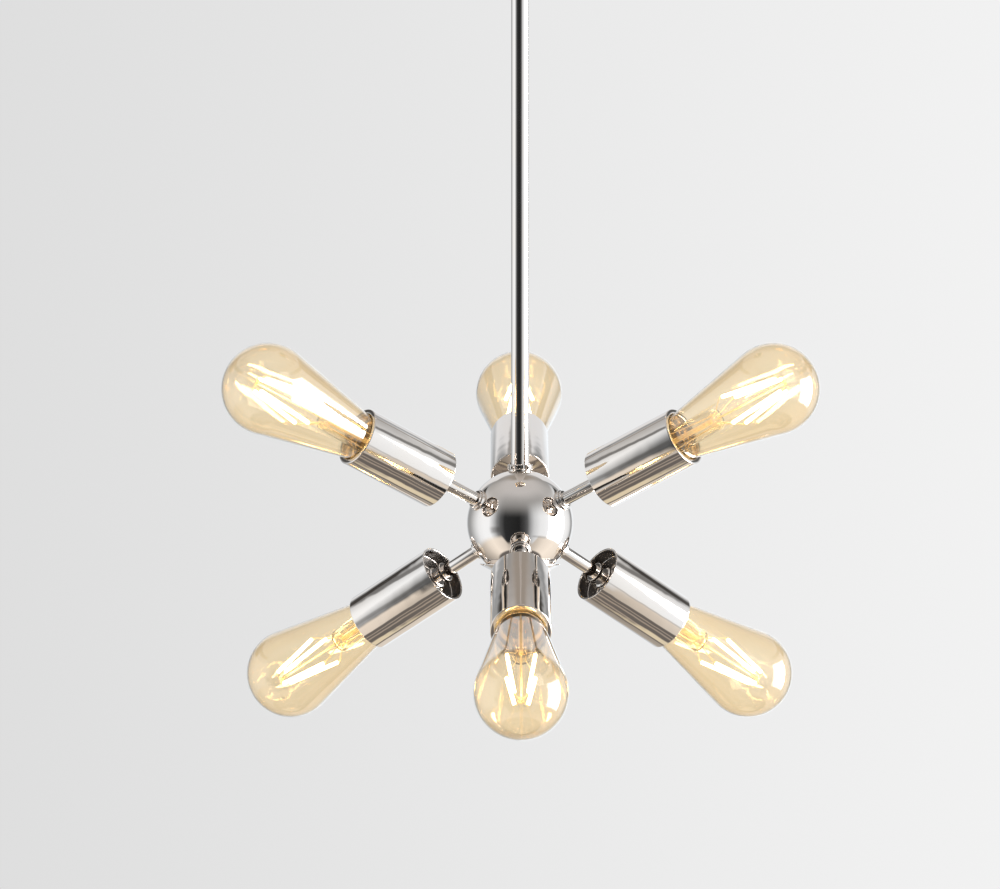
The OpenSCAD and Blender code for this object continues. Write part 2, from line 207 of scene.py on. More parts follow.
def rounded(corners, steps=4):
    """An outline whose corners (radius, height, rounding) become arcs where rounding is above 0."""
    outline = []
    count = len(corners)
    for i, corner in enumerate(corners):
        here = Vector(corner[:2])
        size = corner[2] if len(corner) > 2 else 0
        before = Vector(corners[i - 1][:2]) - here
        after = Vector(corners[(i + 1) % count][:2]) - here
        if size <= 0 or before.length == 0 or after.length == 0:
            outline.append(tuple(here))
            continue
        bend = before.angle(after)
        if bend > pi - 0.01:
            outline.append(tuple(here))
            continue
        reach = min(size / tan(bend / 2), 0.49 * before.length, 0.49 * after.length)
        start = here + before.normalized() * reach
        end = here + after.normalized() * reach
        for k in range(steps + 1):
            t = k / steps
            point = start * (1 - t) ** 2 + here * 2 * t * (1 - t) + end * t ** 2
            outline.append(tuple(point))
    return outline


# ---- modelling ----


def clear_selection():
    if bpy.context.object and bpy.context.object.mode != "OBJECT":
        bpy.ops.object.mode_set(mode="OBJECT")
    bpy.ops.object.select_all(action="DESELECT")


def take(piece):
    """Makes a piece the only selected and active object."""
    clear_selection()
    piece.select_set(True)
    bpy.context.view_layer.objects.active = piece
    return piece


def edit(piece, kind="VERT"):
    take(piece)
    bpy.ops.object.mode_set(mode="EDIT")
    bpy.ops.mesh.select_mode(type=kind)


def settle(piece):
    """Applies a piece's place, so that its object sits at the origin."""
    take(piece)
    bpy.ops.object.transform_apply(location=True, rotation=True, scale=True)
    return piece


def finish_mesh(piece, smooth=35):
    """Merges doubles, turns the faces outwards and shades the piece smooth up to an angle."""
    edit(piece)
    bpy.ops.mesh.select_all(action="SELECT")
    bpy.ops.mesh.remove_doubles(threshold=1e-6)
    bpy.ops.mesh.normals_make_consistent(inside=False)
    bpy.ops.object.mode_set(mode="OBJECT")
    bpy.ops.object.shade_smooth_by_angle(angle=radians(smooth))
    return piece


def draw_outline(name, outline, closed=True):
    """One vertex extruded along an outline of (radius, height) points in the x-z plane."""
    clear_selection()
    first = outline[0]
    bpy.ops.mesh.primitive_plane_add(size=MM, location=(0, 0, 0))
    piece = bpy.context.object
    piece.name = name
    bpy.ops.object.mode_set(mode="EDIT")
    bpy.ops.mesh.select_mode(type="VERT")
    bpy.ops.mesh.select_all(action="SELECT")
    bpy.ops.mesh.merge(type="CENTER")
    bpy.ops.transform.translate(value=(first[0], 0, first[1]))
    path = list(outline[1:]) + ([first] if closed else [])
    last = first
    for point in path:
        step = (point[0] - last[0], 0, point[1] - last[1])
        bpy.ops.mesh.extrude_region_move(TRANSFORM_OT_translate={"value": step})
        last = point
    bpy.ops.mesh.select_all(action="SELECT")
    bpy.ops.mesh.remove_doubles(threshold=1e-7)
    bpy.ops.object.mode_set(mode="OBJECT")
    return piece


def turn_piece(name, outline, segments=None, closed=True, smooth=35):
    """A turned piece: an outline spun a full turn about z."""
    steps = segments or bpy.context.scene.chandelier_turned.segments
    piece = draw_outline(name, outline, closed)
    edit(piece)
    bpy.ops.mesh.select_all(action="SELECT")
    bpy.ops.mesh.spin(steps=steps, angle=2 * pi, center=(0, 0, 0), axis=(0, 0, 1))
    bpy.ops.object.mode_set(mode="OBJECT")
    return finish_mesh(piece, smooth)


def helix_piece(name, outline, pitch, turns, segments=48, smooth=60):
    """A thread: an open outline one pitch tall, swept up a helix about z."""
    piece = draw_outline(name, outline, closed=False)
    take(piece)
    screw = piece.modifiers.new("thread", "SCREW")
    screw.axis = "Z"
    screw.screw_offset = pitch
    screw.iterations = turns
    screw.steps = segments
    screw.render_steps = segments
    screw.use_merge_vertices = True
    screw.merge_threshold = 1e-6
    screw.use_smooth_shade = True
    bpy.ops.object.modifier_apply(modifier="thread")
    return finish_mesh(piece, smooth)


def rod_piece(name, start, end, radius, segments=16, dome=False):
    """A round rod between two points, its end edges bevelled."""
    start, end = Vector(start), Vector(end)
    run = end - start
    clear_selection()
    bpy.ops.mesh.primitive_cylinder_add(
        vertices=segments, radius=radius, depth=run.length, location=(start + end) / 2)
    piece = bpy.context.object
    piece.name = name
    piece.rotation_mode = "QUATERNION"
    piece.rotation_quaternion = run.to_track_quat("Z", "Y")
    bevel = piece.modifiers.new("edge", "BEVEL")
    bevel.width = radius * (0.8 if dome else 0.25)
    bevel.segments = 4 if dome else 2
    bevel.limit_method = "ANGLE"
    bpy.ops.object.modifier_apply(modifier="edge")
    settle(piece)
    bpy.ops.object.shade_smooth_by_angle(angle=radians(50))
    return piece


def bent_wire(name, points, radius, sides=8):
    """A wire along a smooth curve through a few points, made a mesh."""
    curve = bpy.data.curves.new(name, "CURVE")
    curve.dimensions = "3D"
    curve.bevel_depth = radius
    curve.bevel_resolution = max(1, sides // 4)
    curve.resolution_u = 6
    curve.use_fill_caps = True
    line = curve.splines.new("BEZIER")
    line.bezier_points.add(len(points) - 1)
    for knot, place in zip(line.bezier_points, points):
        knot.co = place
        knot.handle_left_type = knot.handle_right_type = "AUTO"
    piece = bpy.data.objects.new(name, curve)
    bpy.context.scene.collection.objects.link(piece)
    take(piece)
    bpy.ops.object.convert(target="MESH")
    return finish_mesh(bpy.context.object, 60)


def join(name, pieces):
    clear_selection()
    for piece in pieces:
        piece.select_set(True)
    bpy.context.view_layer.objects.active = pieces[0]
    if len(pieces) > 1:
        bpy.ops.object.join()
    whole = bpy.context.object
    whole.name = name
    return whole


def put_along(pattern, arm, name):
    """A copy of a piece modelled about z, stood along one arm, with its own mesh."""
    take(pattern)
    bpy.ops.object.duplicate(linked=False)
    copy = bpy.context.object
    copy.name = name
    copy.matrix_world = arm.matrix @ copy.matrix_world
    return settle(copy)


def lift(piece, x=0, y=0, z=0):
    piece.location = (x, y, z)
    return settle(piece)


def give(piece, finish, body, slot, *nodes):
    """Sets a piece's finish, body and the CAD nodes that it stands for; its slot is not used."""
    piece.data.materials.clear()
    piece.data.materials.append(finish)
    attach(piece, body)
    if nodes:
        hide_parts(*nodes)


def discard(*patterns):
    for pattern in patterns:
        bpy.data.objects.remove(pattern)


# ---- shader node groups ----


def new_group(name, inputs, outputs):
    group = bpy.data.node_groups.new(name, "ShaderNodeTree")
    for label, default in inputs.items():
        kind = "NodeSocketFloat" if isinstance(default, (int, float)) else "NodeSocketColor"
        socket = group.interface.new_socket(name=label, in_out="INPUT", socket_type=kind)
        socket.default_value = default
    for label, kind in outputs.items():
        group.interface.new_socket(name=label, in_out="OUTPUT", socket_type=kind)
    entry = group.nodes.new("NodeGroupInput")
    leave = group.nodes.new("NodeGroupOutput")
    return group, entry, leave


def add(tree, kind, **settings):
    """Adds a node; a setting named after an input socket sets that input."""
    node = tree.nodes.new(kind)
    for key, value in settings.items():
        if hasattr(node, key):
            setattr(node, key, value)
        else:
            node.inputs[key.replace("_", " ")].default_value = value
    return node


def calc(tree, operation, first, second=None, third=None):
    """A math node on values or sockets; returns its output socket."""
    node = tree.nodes.new("ShaderNodeMath")
    node.operation = operation
    for slot, value in zip(node.inputs, (first, second, third)):
        if value is None:
            continue
        if isinstance(value, (int, float)):
            slot.default_value = value
        else:
            tree.links.new(value, slot)
    return node.outputs[0]


def soft_step(tree, value, low, high):
    """0 below low, 1 above high, smooth between."""
    node = tree.nodes.new("ShaderNodeMapRange")
    node.interpolation_type = "SMOOTHSTEP"
    node.inputs["From Min"].default_value = low
    node.inputs["From Max"].default_value = high
    tree.links.new(value, node.inputs["Value"])
    return node.outputs[0]


def handling_marks():
    """Ripples, fine rubbing lines and specks as a height, and smudges as a mask."""
    if "handling marks" in bpy.data.node_groups:
        return bpy.data.node_groups["handling marks"]
    group, entry, leave = new_group(
        "handling marks",
        {"Ripple": 0.0},
        {"Smudge": "NodeSocketFloat", "Height": "NodeSocketFloat"})
    place = add(group, "ShaderNodeTexCoord")
    cloud = add(group, "ShaderNodeTexNoise", Scale=22.0, Detail=3.0, Roughness=0.55)
    lines = add(group, "ShaderNodeTexNoise", Scale=260.0, Detail=4.0, Roughness=0.7)
    stretch = add(group, "ShaderNodeMapping")
    stretch.inputs["Scale"].default_value = (6.0, 6.0, 0.6)
    specks = add(group, "ShaderNodeTexVoronoi", Scale=420.0)
    group.links.new(place.outputs["Object"], cloud.inputs["Vector"])
    group.links.new(place.outputs["Object"], stretch.inputs["Vector"])
    group.links.new(stretch.outputs["Vector"], lines.inputs["Vector"])
    group.links.new(place.outputs["Object"], specks.inputs["Vector"])
    smudge = soft_step(group, cloud.outputs["Fac"], 0.48, 0.72)
    dots = soft_step(group, specks.outputs["Distance"], 0.14, 0.05)
    ripple = add(group, "ShaderNodeTexNoise", Scale=70.0, Detail=1.0, Roughness=0.4)
    group.links.new(place.outputs["Object"], ripple.inputs["Vector"])
    waves = calc(group, "MULTIPLY", ripple.outputs["Fac"], entry.outputs["Ripple"])
    height = calc(group, "ADD", lines.outputs["Fac"], calc(group, "MULTIPLY_ADD", dots, 0.2, waves))
    group.links.new(smudge, leave.inputs["Smudge"])
    group.links.new(height, leave.inputs["Height"])
    return group


def colour_drift():
    """Slow change between two colours, for plating, mouldings and glass."""
    if "colour drift" in bpy.data.node_groups:
        return bpy.data.node_groups["colour drift"]
    group, entry, leave = new_group(
        "colour drift",
        {"Colour": (1, 1, 1, 1), "Other": (1, 1, 1, 1), "Size": 20.0},
        {"Colour": "NodeSocketColor"})
    place = add(group, "ShaderNodeTexCoord")
    cloud = add(group, "ShaderNodeTexNoise", Detail=2.0, Roughness=0.5)
    blend = add(group, "ShaderNodeMix", data_type="RGBA")
    group.links.new(place.outputs["Object"], cloud.inputs["Vector"])
    group.links.new(entry.outputs["Size"], cloud.inputs["Scale"])
    group.links.new(soft_step(group, cloud.outputs["Fac"], 0.35, 0.65), blend.inputs["Factor"])
    group.links.new(entry.outputs["Colour"], blend.inputs[6])
    group.links.new(entry.outputs["Other"], blend.inputs[7])
    group.links.new(blend.outputs[2], leave.inputs["Colour"])
    return group


def use_group(tree, group, **values):
    node = tree.nodes.new("ShaderNodeGroup")
    node.node_tree = group
    for key, value in values.items():
        node.inputs[key].default_value = value
    return node


# ---- materials ----


def new_material(name):
    finish = bpy.data.materials.new(name)
    finish.use_nodes = True
    tree = finish.node_tree
    shader = next(n for n in tree.nodes if n.type == "BSDF_PRINCIPLED")
    output = next(n for n in tree.nodes if n.type == "OUTPUT_MATERIAL")
    return finish, tree, shader, output


def tinted(colour, by):
    return tuple(min(1.0, c * b) for c, b in zip(colour, by)) + (1.0,)


def surface(name, colour, other, clean, smudged, metallic=1.0, bump=0.02, ripple=0.0, size=20.0):
    """A metal or moulded surface with drifting colour, smudges and fine marks."""
    if name in bpy.data.materials:
        return bpy.data.materials[name]
    finish, tree, shader, _ = new_material(name)
    marks = use_group(tree, handling_marks(), Ripple=ripple)
    drift = use_group(tree, colour_drift(), Colour=colour, Other=other, Size=size)
    rough = tree.nodes.new("ShaderNodeMapRange")
    rough.inputs["To Min"].default_value = clean
    rough.inputs["To Max"].default_value = smudged
    lift_marks = add(tree, "ShaderNodeBump", Strength=bump, Distance=0.0002)
    tree.links.new(marks.outputs["Smudge"], rough.inputs["Value"])
    tree.links.new(rough.outputs[0], shader.inputs["Roughness"])
    tree.links.new(marks.outputs["Height"], lift_marks.inputs["Height"])
    tree.links.new(lift_marks.outputs["Normal"], shader.inputs["Normal"])
    tree.links.new(drift.outputs["Colour"], shader.inputs["Base Color"])
    shader.inputs["Metallic"].default_value = metallic
    return finish


def polished_nickel():
    metal = bpy.context.scene.chandelier_metal
    base = tuple(metal.nickel)
    return surface(
        "polished nickel", base + (1.0,), tinted(base, (1.02, 1.0, 0.975)),
        metal.polish, metal.polish + 0.05, bump=0.015)


def rippled_nickel():
    """The nickel on drawn tube, whose faint ripples break up the lines that it mirrors."""
    metal = bpy.context.scene.chandelier_metal
    base = tuple(metal.nickel)
    return surface(
        "rippled nickel", base + (1.0,), tinted(base, (1.02, 1.0, 0.975)),
        metal.polish, metal.polish + 0.05, bump=0.015, ripple=70.0)


def threaded_nickel():
    base = tuple(bpy.context.scene.chandelier_metal.nickel)
    return surface(
        "threaded nickel", tinted(base, (0.8, 0.77, 0.74)), tinted(base, (0.6, 0.56, 0.52)),
        0.16, 0.3, bump=0.08, size=60.0)


def turned_brass():
    base = tuple(bpy.context.scene.chandelier_metal.brass)
    return surface(
        "turned brass", base + (1.0,), tinted(base, (0.86, 0.8, 0.7)), 0.2, 0.38,
        bump=0.1, size=60.0)


def zinc_plate():
    base = tuple(bpy.context.scene.chandelier_metal.zinc)
    return surface(
        "zinc plate", base + (1.0,), tinted(base, (0.9, 0.93, 0.86)), 0.28, 0.46,
        bump=0.12, size=90.0)


def cap_metal():
    return surface(
        "bulb cap metal", (0.84, 0.70, 0.44, 1), (0.72, 0.57, 0.32, 1), 0.18, 0.36,
        bump=0.08, size=80.0)


def solder():
    return surface(
        "solder", (0.58, 0.58, 0.57, 1), (0.42, 0.42, 0.41, 1), 0.3, 0.5, bump=0.3, size=300.0)


def green_screw():
    return surface(
        "green dyed screw", (0.03, 0.22, 0.07, 1), (0.02, 0.14, 0.05, 1), 0.3, 0.5, bump=0.1)


def moulded(name, colour, other, clean=0.35, smudged=0.55):
    return surface(name, colour, other, clean, smudged, metallic=0.0, bump=0.12, size=120.0)


# Used only for the sleeves' dark liner, which is painted shade in the rear recess.
def phenolic():
    return moulded("dark phenolic painted shade", (0.030, 0.022, 0.017, 1), (0.018, 0.013, 0.011, 1))


def porcelain():
    return surface(
        "cream porcelain", (0.80, 0.73, 0.60, 1), (0.72, 0.64, 0.50, 1), 0.12, 0.3,
        metallic=0.0, bump=0.05, size=60.0)


def nylon():
    return moulded("natural nylon", (0.78, 0.76, 0.70, 1), (0.70, 0.68, 0.61, 1))


def lead_insulation():
    return moulded("lead insulation", (0.02, 0.02, 0.022, 1), (0.035, 0.034, 0.034, 1), 0.4, 0.6)


def splice_plastic():
    return moulded("splice cap plastic", (0.62, 0.47, 0.28, 1), (0.55, 0.41, 0.24, 1))


def black_glass():
    return moulded("cap insulator", (0.012, 0.012, 0.014, 1), (0.02, 0.02, 0.022, 1), 0.06, 0.2)


def clear_to_lamps(tree, shader, output, tint):
    """Lets light through the glass without bending it, for shadow rays only."""
    path = tree.nodes.new("ShaderNodeLightPath")
    clear = tree.nodes.new("ShaderNodeBsdfTransparent")
    clear.inputs["Color"].default_value = tint
    both = tree.nodes.new("ShaderNodeMixShader")
    tree.links.new(path.outputs["Is Shadow Ray"], both.inputs[0])
    tree.links.new(shader.outputs[0], both.inputs[1])
    tree.links.new(clear.outputs[0], both.inputs[2])
    tree.links.new(both.outputs[0], output.inputs["Surface"])


def amber_glass():
    """Clear amber glass whose tint deepens towards its edges, with a faint painted glow of warm
    light.
    """
    if "amber glass" in bpy.data.materials:
        return bpy.data.materials["amber glass"]
    tint = tuple(bpy.context.scene.chandelier_bulb.tint)
    finish, tree, shader, output = new_material("amber glass")
    drift = use_group(
        tree, colour_drift(),
        Colour=tint + (1.0,), Other=tinted(tint, (1.0, 0.975, 0.93)), Size=14.0)
    edge = add(tree, "ShaderNodeLayerWeight", Blend=0.25)
    deep = add(tree, "ShaderNodeMix", data_type="RGBA", blend_type="MULTIPLY")
    deep.inputs[7].default_value = (0.98, 0.82, 0.60, 1.0)
    tree.links.new(edge.outputs["Facing"], deep.inputs["Factor"])
    tree.links.new(drift.outputs["Colour"], deep.inputs[6])
    tree.links.new(deep.outputs[2], shader.inputs["Base Color"])
    shader.inputs["Roughness"].default_value = 0.0
    shader.inputs["IOR"].default_value = 1.5
    shader.inputs["Transmission Weight"].default_value = 1.0
    shader.inputs["Coat Weight"].default_value = 1.0
    # Painted glow: a faint warm emission stands in for the filaments' light in the glass.
    shader.inputs["Emission Color"].default_value = (1.0, 0.76, 0.42, 1.0)
    shader.inputs["Emission Strength"].default_value = 0.018
    shader.inputs["Coat IOR"].default_value = 1.5
    shader.inputs["Coat Roughness"].default_value = 0.03
    place = add(tree, "ShaderNodeTexCoord")
    waves = add(tree, "ShaderNodeTexNoise", Scale=28.0, Detail=1.0)
    lift_waves = add(tree, "ShaderNodeBump", Strength=0.12, Distance=0.0006)
    tree.links.new(place.outputs["Object"], waves.inputs["Vector"])
    tree.links.new(waves.outputs["Fac"], lift_waves.inputs["Height"])
    tree.links.new(lift_waves.outputs["Normal"], shader.inputs["Normal"])
    clear_to_lamps(tree, shader, output, tint + (1.0,))
    return finish


def stem_glass():
    """Nearly clear glass of the stem inside a bulb, with a faint milky drift."""
    if "stem glass" in bpy.data.materials:
        return bpy.data.materials["stem glass"]
    finish, tree, shader, output = new_material("stem glass")
    drift = use_group(
        tree, colour_drift(), Colour=(0.98, 0.94, 0.86, 1), Other=(0.95, 0.88, 0.74, 1), Size=120.0)
    tree.links.new(drift.outputs["Colour"], shader.inputs["Base Color"])
    shader.inputs["Roughness"].default_value = 0.02
    shader.inputs["IOR"].default_value = 1.5
    shader.inputs["Transmission Weight"].default_value = 1.0
    clear_to_lamps(tree, shader, output, (0.96, 0.94, 0.9, 1.0))
    return finish


def lit_filament():
    """Phosphor-coated filament, its glow drifting a little in colour."""
    if "lit filament" in bpy.data.materials:
        return bpy.data.materials["lit filament"]
    bulb = bpy.context.scene.chandelier_bulb
    finish, tree, shader, _ = new_material("lit filament")
    glow = tuple(bulb.glow)
    drift = use_group(
        tree, colour_drift(),
        Colour=glow + (1.0,), Other=tinted(glow, (1.0, 0.93, 0.8)), Size=900.0)
    tree.links.new(drift.outputs["Colour"], shader.inputs["Emission Color"])
    shader.inputs["Base Color"].default_value = (0.9, 0.6, 0.2, 1)
    shader.inputs["Roughness"].default_value = 0.5
    shader.inputs["Emission Strength"].default_value = bulb.strength
    return finish


def painted_glow_wire():
    """Support wire and the central rod, with the filaments' warm light painted into their colour
    and a painted glow.
    """
    if "support wire with painted glow" in bpy.data.materials:
        return bpy.data.materials["support wire with painted glow"]
    finish, tree, shader, _ = new_material("support wire with painted glow")
    # Painted light: the warm gold colour stands in for the filaments' light falling on the wire.
    drift = use_group(
        tree, colour_drift(), Colour=(0.83, 0.72, 0.5, 1), Other=(0.62, 0.5, 0.3, 1), Size=400.0)
    tree.links.new(drift.outputs["Colour"], shader.inputs["Base Color"])
    shader.inputs["Metallic"].default_value = 1.0
    shader.inputs["Roughness"].default_value = 0.3
    # Painted glow: a warm emission, though the wire is not a lamp.
    shader.inputs["Emission Color"].default_value = (1.0, 0.66, 0.26, 1.0)
    shader.inputs["Emission Strength"].default_value = 0.5
    return finish


# ---- pieces ----


class CHANDELIER_OT_kept_nodes(Operator):
    """Finishes the straps, screws, nuts and leads whose CAD shape is already right"""

    bl_idname = "chandelier.kept_nodes"
    bl_label = "Straps, Screws and Leads"

    FINISHES = {
        zinc_plate: ("box_strap", "canopy_strap", "strap_rivet", "canopy_screws", "hub_bridge"),
        green_screw: ("ground_screw",),
        turned_brass: ("ball_nut", "stem_nipple", "stem_nut", "arm_nuts", "contact_tabs"),
        lead_insulation: ("stem_leads", "arm_leads"),
        splice_plastic: ("splice_caps",),
    }

    def execute(self, context):
        for finish, names in self.FINISHES.items():
            for name in names:
                node = frame["nodes"][name]
                node.data.materials.clear()
                node.data.materials.append(finish())
        return {"FINISHED"}


class CHANDELIER_OT_canopy(Operator):
    """Spins the shallow ceiling canopy, with its rolled rim"""

    bl_idname = "chandelier.canopy"
    bl_label = "Canopy"

    shoulder = 7 * MM
    lap = 4.5 * MM

    def execute(self, context):
        low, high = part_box("canopy")
        radius = (high.x - low.x) / 2
        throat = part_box("swivel_cup")[1].x - self.lap
        inner = radius - CANOPY_WALL
        rim = CANOPY_WALL / 2
        outline = [(throat, low.z)]
        outline += arc((radius - self.shoulder, low.z + self.shoulder), self.shoulder, -90, 0, 14)
        outline += [(radius, high.z - 0.3 * MM)]
        outline += arc((radius - rim, high.z - rim), rim, 0, 180, 6)
        outline += arc(
            (radius - self.shoulder, low.z + self.shoulder), inner - radius + self.shoulder,
            0, -90, 14)
        outline += [(throat, low.z + CANOPY_WALL)]
        canopy = turn_piece("canopy_shell", outline, segments=160)
        give(canopy, polished_nickel(), CEILING, "polished_nickel", "canopy")
        return {"FINISHED"}


class CHANDELIER_OT_cap_nuts(Operator):
    """Turns the two domed nuts that hold the canopy up, with knurled skirts"""

    bl_idname = "chandelier.cap_nuts"
    bl_label = "Canopy Cap Nuts"

    knurl_depth = 0.25 * MM
    knurls = 28

    def execute(self, context):
        low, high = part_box("cap_nuts")
        radius = (high.x - low.x) / 2
        height = high.z - low.z
        skirt = height * 0.55
        outline = [(0, 0)]
        outline += arc((radius - 2.7 * MM, 2.5 * MM), 2.4 * MM, -90, 0, 8)
        outline += [(radius - 0.3 * MM, height - skirt), (radius, height - skirt + 0.3 * MM)]
        outline += [(radius, height - 0.3 * MM), (radius - 0.3 * MM, height), (0, height)]
        pattern = turn_piece("nut_pattern", outline, segments=self.knurls * 2, closed=False)
        press_knurl(pattern, radius, self.knurl_depth, self.knurls)
        nuts = []
        for side in (-1, 1):
            take(pattern)
            bpy.ops.object.duplicate(linked=False)
            nuts.append(lift(bpy.context.object, 0, side * (high.y - radius), low.z))
        pair = join("canopy_cap_nuts", nuts)
        give(pair, polished_nickel(), CEILING, "polished_nickel", "cap_nuts")
        discard(pattern)
        return {"FINISHED"}


def press_knurl(piece, radius, depth, count, lines=2, pressed=1):
    """Pulls one line in every few of the widest band inwards, as a straight knurl."""
    band_depth = 0.12 * MM
    edit(piece)
    bpy.ops.mesh.select_all(action="DESELECT")
    bpy.ops.object.mode_set(mode="OBJECT")
    for vertex in piece.data.vertices:
        x, y, _ = vertex.co
        step = round(atan2(y, x) / (2 * pi) * count * lines)
        vertex.select = hypot(x, y) > radius - band_depth and step % lines == pressed
    bpy.ops.object.mode_set(mode="EDIT")
    shrink = (radius - depth) / radius
    bpy.ops.transform.resize(value=(shrink, shrink, 1), center_override=(0, 0, 0))
    bpy.ops.object.mode_set(mode="OBJECT")


class CHANDELIER_OT_swivel(Operator):
    """Turns the swivel's cup, its nylon seat ring and the ball that hangs in it"""

    bl_idname = "chandelier.swivel"
    bl_label = "Ball Swivel"

    bore = 17.1 * MM
    body = 19.5 * MM
    floor = 2.4 * MM
    ball = 15 * MM
    ball_clear = 0.2 * MM
    passage = 5 * MM
    seat = 5.45 * MM

    def execute(self, context):
        edge = context.scene.chandelier_turned.edge
        low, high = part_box("swivel_cup")
        flange = (high.x - low.x) / 2
        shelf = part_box("canopy")[0].z + CANOPY_WALL
        mouth = self.bore - self.seat
        cup = turn_piece("swivel_cup_turned", rounded([
            (mouth, low.z + self.floor, edge),
            (mouth + 1.6 * MM, low.z, edge),
            (self.body - 3 * MM, low.z, 0.8 * MM),
            (self.body - 1 * MM, low.z + 1 * MM, 0.8 * MM),
            (self.body, low.z + 3 * MM, 0.8 * MM),
            (self.body, shelf, 0),
            (flange, shelf, edge),
            (flange, shelf + 1.5 * MM, edge),
            (self.body, shelf + 1.5 * MM, 0),
            (self.body, high.z, edge),
            (self.bore, high.z, edge),
            (self.bore, low.z + self.floor, 0),
        ]))
        give(cup, polished_nickel(), CEILING, "polished_nickel", "swivel_cup")
        self.seat_ring(edge)
        self.swivel_ball()
        return {"FINISHED"}

    def seat_ring(self, edge):
        low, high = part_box("seat_ring")
        outer = (high.x - low.x) / 2
        socket = self.ball + self.ball_clear
        start = asin((low.z - SWIVEL.z) / socket) * 180 / pi
        end = asin((high.z - SWIVEL.z) / socket) * 180 / pi
        outline = arc((0, SWIVEL.z), socket, start, end, 10)
        outline += [(outer - edge, high.z), (outer, high.z - edge)]
        outline += [(outer, low.z + edge), (outer - edge, low.z)]
        ring = turn_piece("seat_ring_moulded", outline)
        give(ring, nylon(), SEAT, "nylon", "seat_ring")

    def swivel_ball(self):
        low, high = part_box("swivel_ball")
        start = asin((low.z - SWIVEL.z) / self.ball) * 180 / pi
        end = asin((high.z - SWIVEL.z) / self.ball) * 180 / pi
        outline = [(self.passage, low.z)]
        outline += arc((0, SWIVEL.z), self.ball, start, end, 24)
        outline += [(self.passage, high.z)]
        ball = turn_piece("swivel_ball_turned", outline)
        give(ball, polished_nickel(), HANGING, "polished_nickel", "swivel_ball")


class CHANDELIER_OT_stem(Operator):
    """Draws the stem tube and turns the knurled collar that locks it on the hub"""

    bl_idname = "chandelier.stem"
    bl_label = "Stem and Collar"

    bore = 3.2 * MM
    thread = 5 * MM
    neck = 7.85 * MM
    socket = 16 * MM
    knurl_depth = 0.45 * MM
    lines = 4

    def execute(self, context):
        turned = context.scene.chandelier_turned
        low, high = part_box("stem")
        radius = (high.x - low.x) / 2
        collar_low, collar_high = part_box("stem_collar")
        stem = turn_piece("stem_tube", rounded([
            (self.bore, low.z, 0),
            (self.thread, low.z, turned.edge),
            (self.thread, collar_high.z, 0),
            (radius, collar_high.z, 0),
            (radius, high.z, turned.edge),
            (self.thread, high.z, 0),
            (self.thread, high.z - self.socket, 0),
            (self.bore, high.z - self.socket, 0),
        ]))
        give(stem, polished_nickel(), HANGING, "polished_nickel", "stem")
        outer = (collar_high.x - collar_low.x) / 2
        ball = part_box("hub_ball")[1].x
        base = HUB.z + (ball ** 2 - self.neck ** 2) ** 0.5
        shoulder = HUB.z + ball + 0.1 * MM
        collar = turn_piece("stem_collar_knurled", rounded([
            (self.thread, base + 0.3 * MM, 0),
            (self.neck, base, 0),
            (self.neck, shoulder, 0),
            (outer - 0.5 * MM, shoulder, 0.15 * MM),
            (outer, shoulder + 0.5 * MM, 0.1 * MM),
            (outer, collar_high.z - 0.5 * MM, 0.1 * MM),
            (outer - 0.5 * MM, collar_high.z, 0.15 * MM),
            (self.thread, collar_high.z, 0),
        ], steps=2), segments=turned.knurls * self.lines)
        press_knurl(collar, outer, self.knurl_depth, turned.knurls, self.lines, pressed=0)
        bpy.ops.object.shade_smooth_by_angle(angle=radians(25))
        give(collar, polished_nickel(), HANGING, "polished_nickel", "stem_collar")
        return {"FINISHED"}


class CHANDELIER_OT_hub(Operator):
    """Spins the hollow hub ball, the dish below it and the dish's finial"""

    bl_idname = "chandelier.hub"
    bl_label = "Hub"

    wall = 2 * MM
    stem_hole = 5 * MM
    seat = 23 * MM
    foot = 17 * MM
    dish_wall = 1.2 * MM
    screw = 1.9 * MM

    def execute(self, context):
        edge = context.scene.chandelier_turned.edge
        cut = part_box("hub_ball")[0].z
        dish_low, dish_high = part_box("hub_dish")
        inner = BALL - self.wall
        outline = arc(
            (0, HUB.z), BALL,
            asin((cut - HUB.z) / BALL) * 180 / pi,
            90 - asin(self.stem_hole / BALL) * 180 / pi, 72)
        outline += arc(
            (0, HUB.z), inner,
            90 - asin(self.stem_hole / inner) * 180 / pi,
            asin((cut - HUB.z) / inner) * 180 / pi, 48)
        ball = turn_piece("hub_ball_spun", outline, segments=144)
        give(ball, polished_nickel(), HANGING, "polished_nickel", "hub_ball")

        rim = (dish_high.x - dish_low.x) / 2
        dish = turn_piece("hub_dish_spun", rounded([
            (self.screw, dish_low.z, 0),
            (self.foot - 1.5 * MM, dish_low.z, 0.6 * MM),
            (self.foot + 1 * MM, dish_low.z + 1 * MM, 0.8 * MM),
            (rim - 0.4 * MM, dish_high.z - 0.9 * MM, edge),
            (rim, dish_high.z - 0.5 * MM, edge),
            (rim, dish_high.z, edge),
            (self.seat, dish_high.z, edge),
            (self.foot, dish_low.z + self.dish_wall + 0.8 * MM, 0.5 * MM),
            (self.foot - 1.5 * MM, dish_low.z + self.dish_wall, 0),
            (self.screw, dish_low.z + self.dish_wall, 0),
        ]), segments=128)
        give(dish, polished_nickel(), HANGING, "polished_nickel", "hub_dish")

        low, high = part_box("dish_finial")
        knob = (high.x - low.x) / 2
        top = dish_low.z
        outline = [(0, low.z)]
        outline += arc((knob - 2.5 * MM, low.z + 2.5 * MM), 2.5 * MM, -90, 0, 10)
        outline += [(knob, top - 1 * MM), (knob - 1 * MM, top), (self.screw, top)]
        outline += [(self.screw, high.z - 0.3 * MM), (self.screw - 0.3 * MM, high.z), (0, high.z)]
        finial = turn_piece("dish_finial_turned", outline, segments=64, closed=False)
        give(finial, polished_nickel(), HANGING, "polished_nickel", "dish_finial")
        return {"FINISHED"}


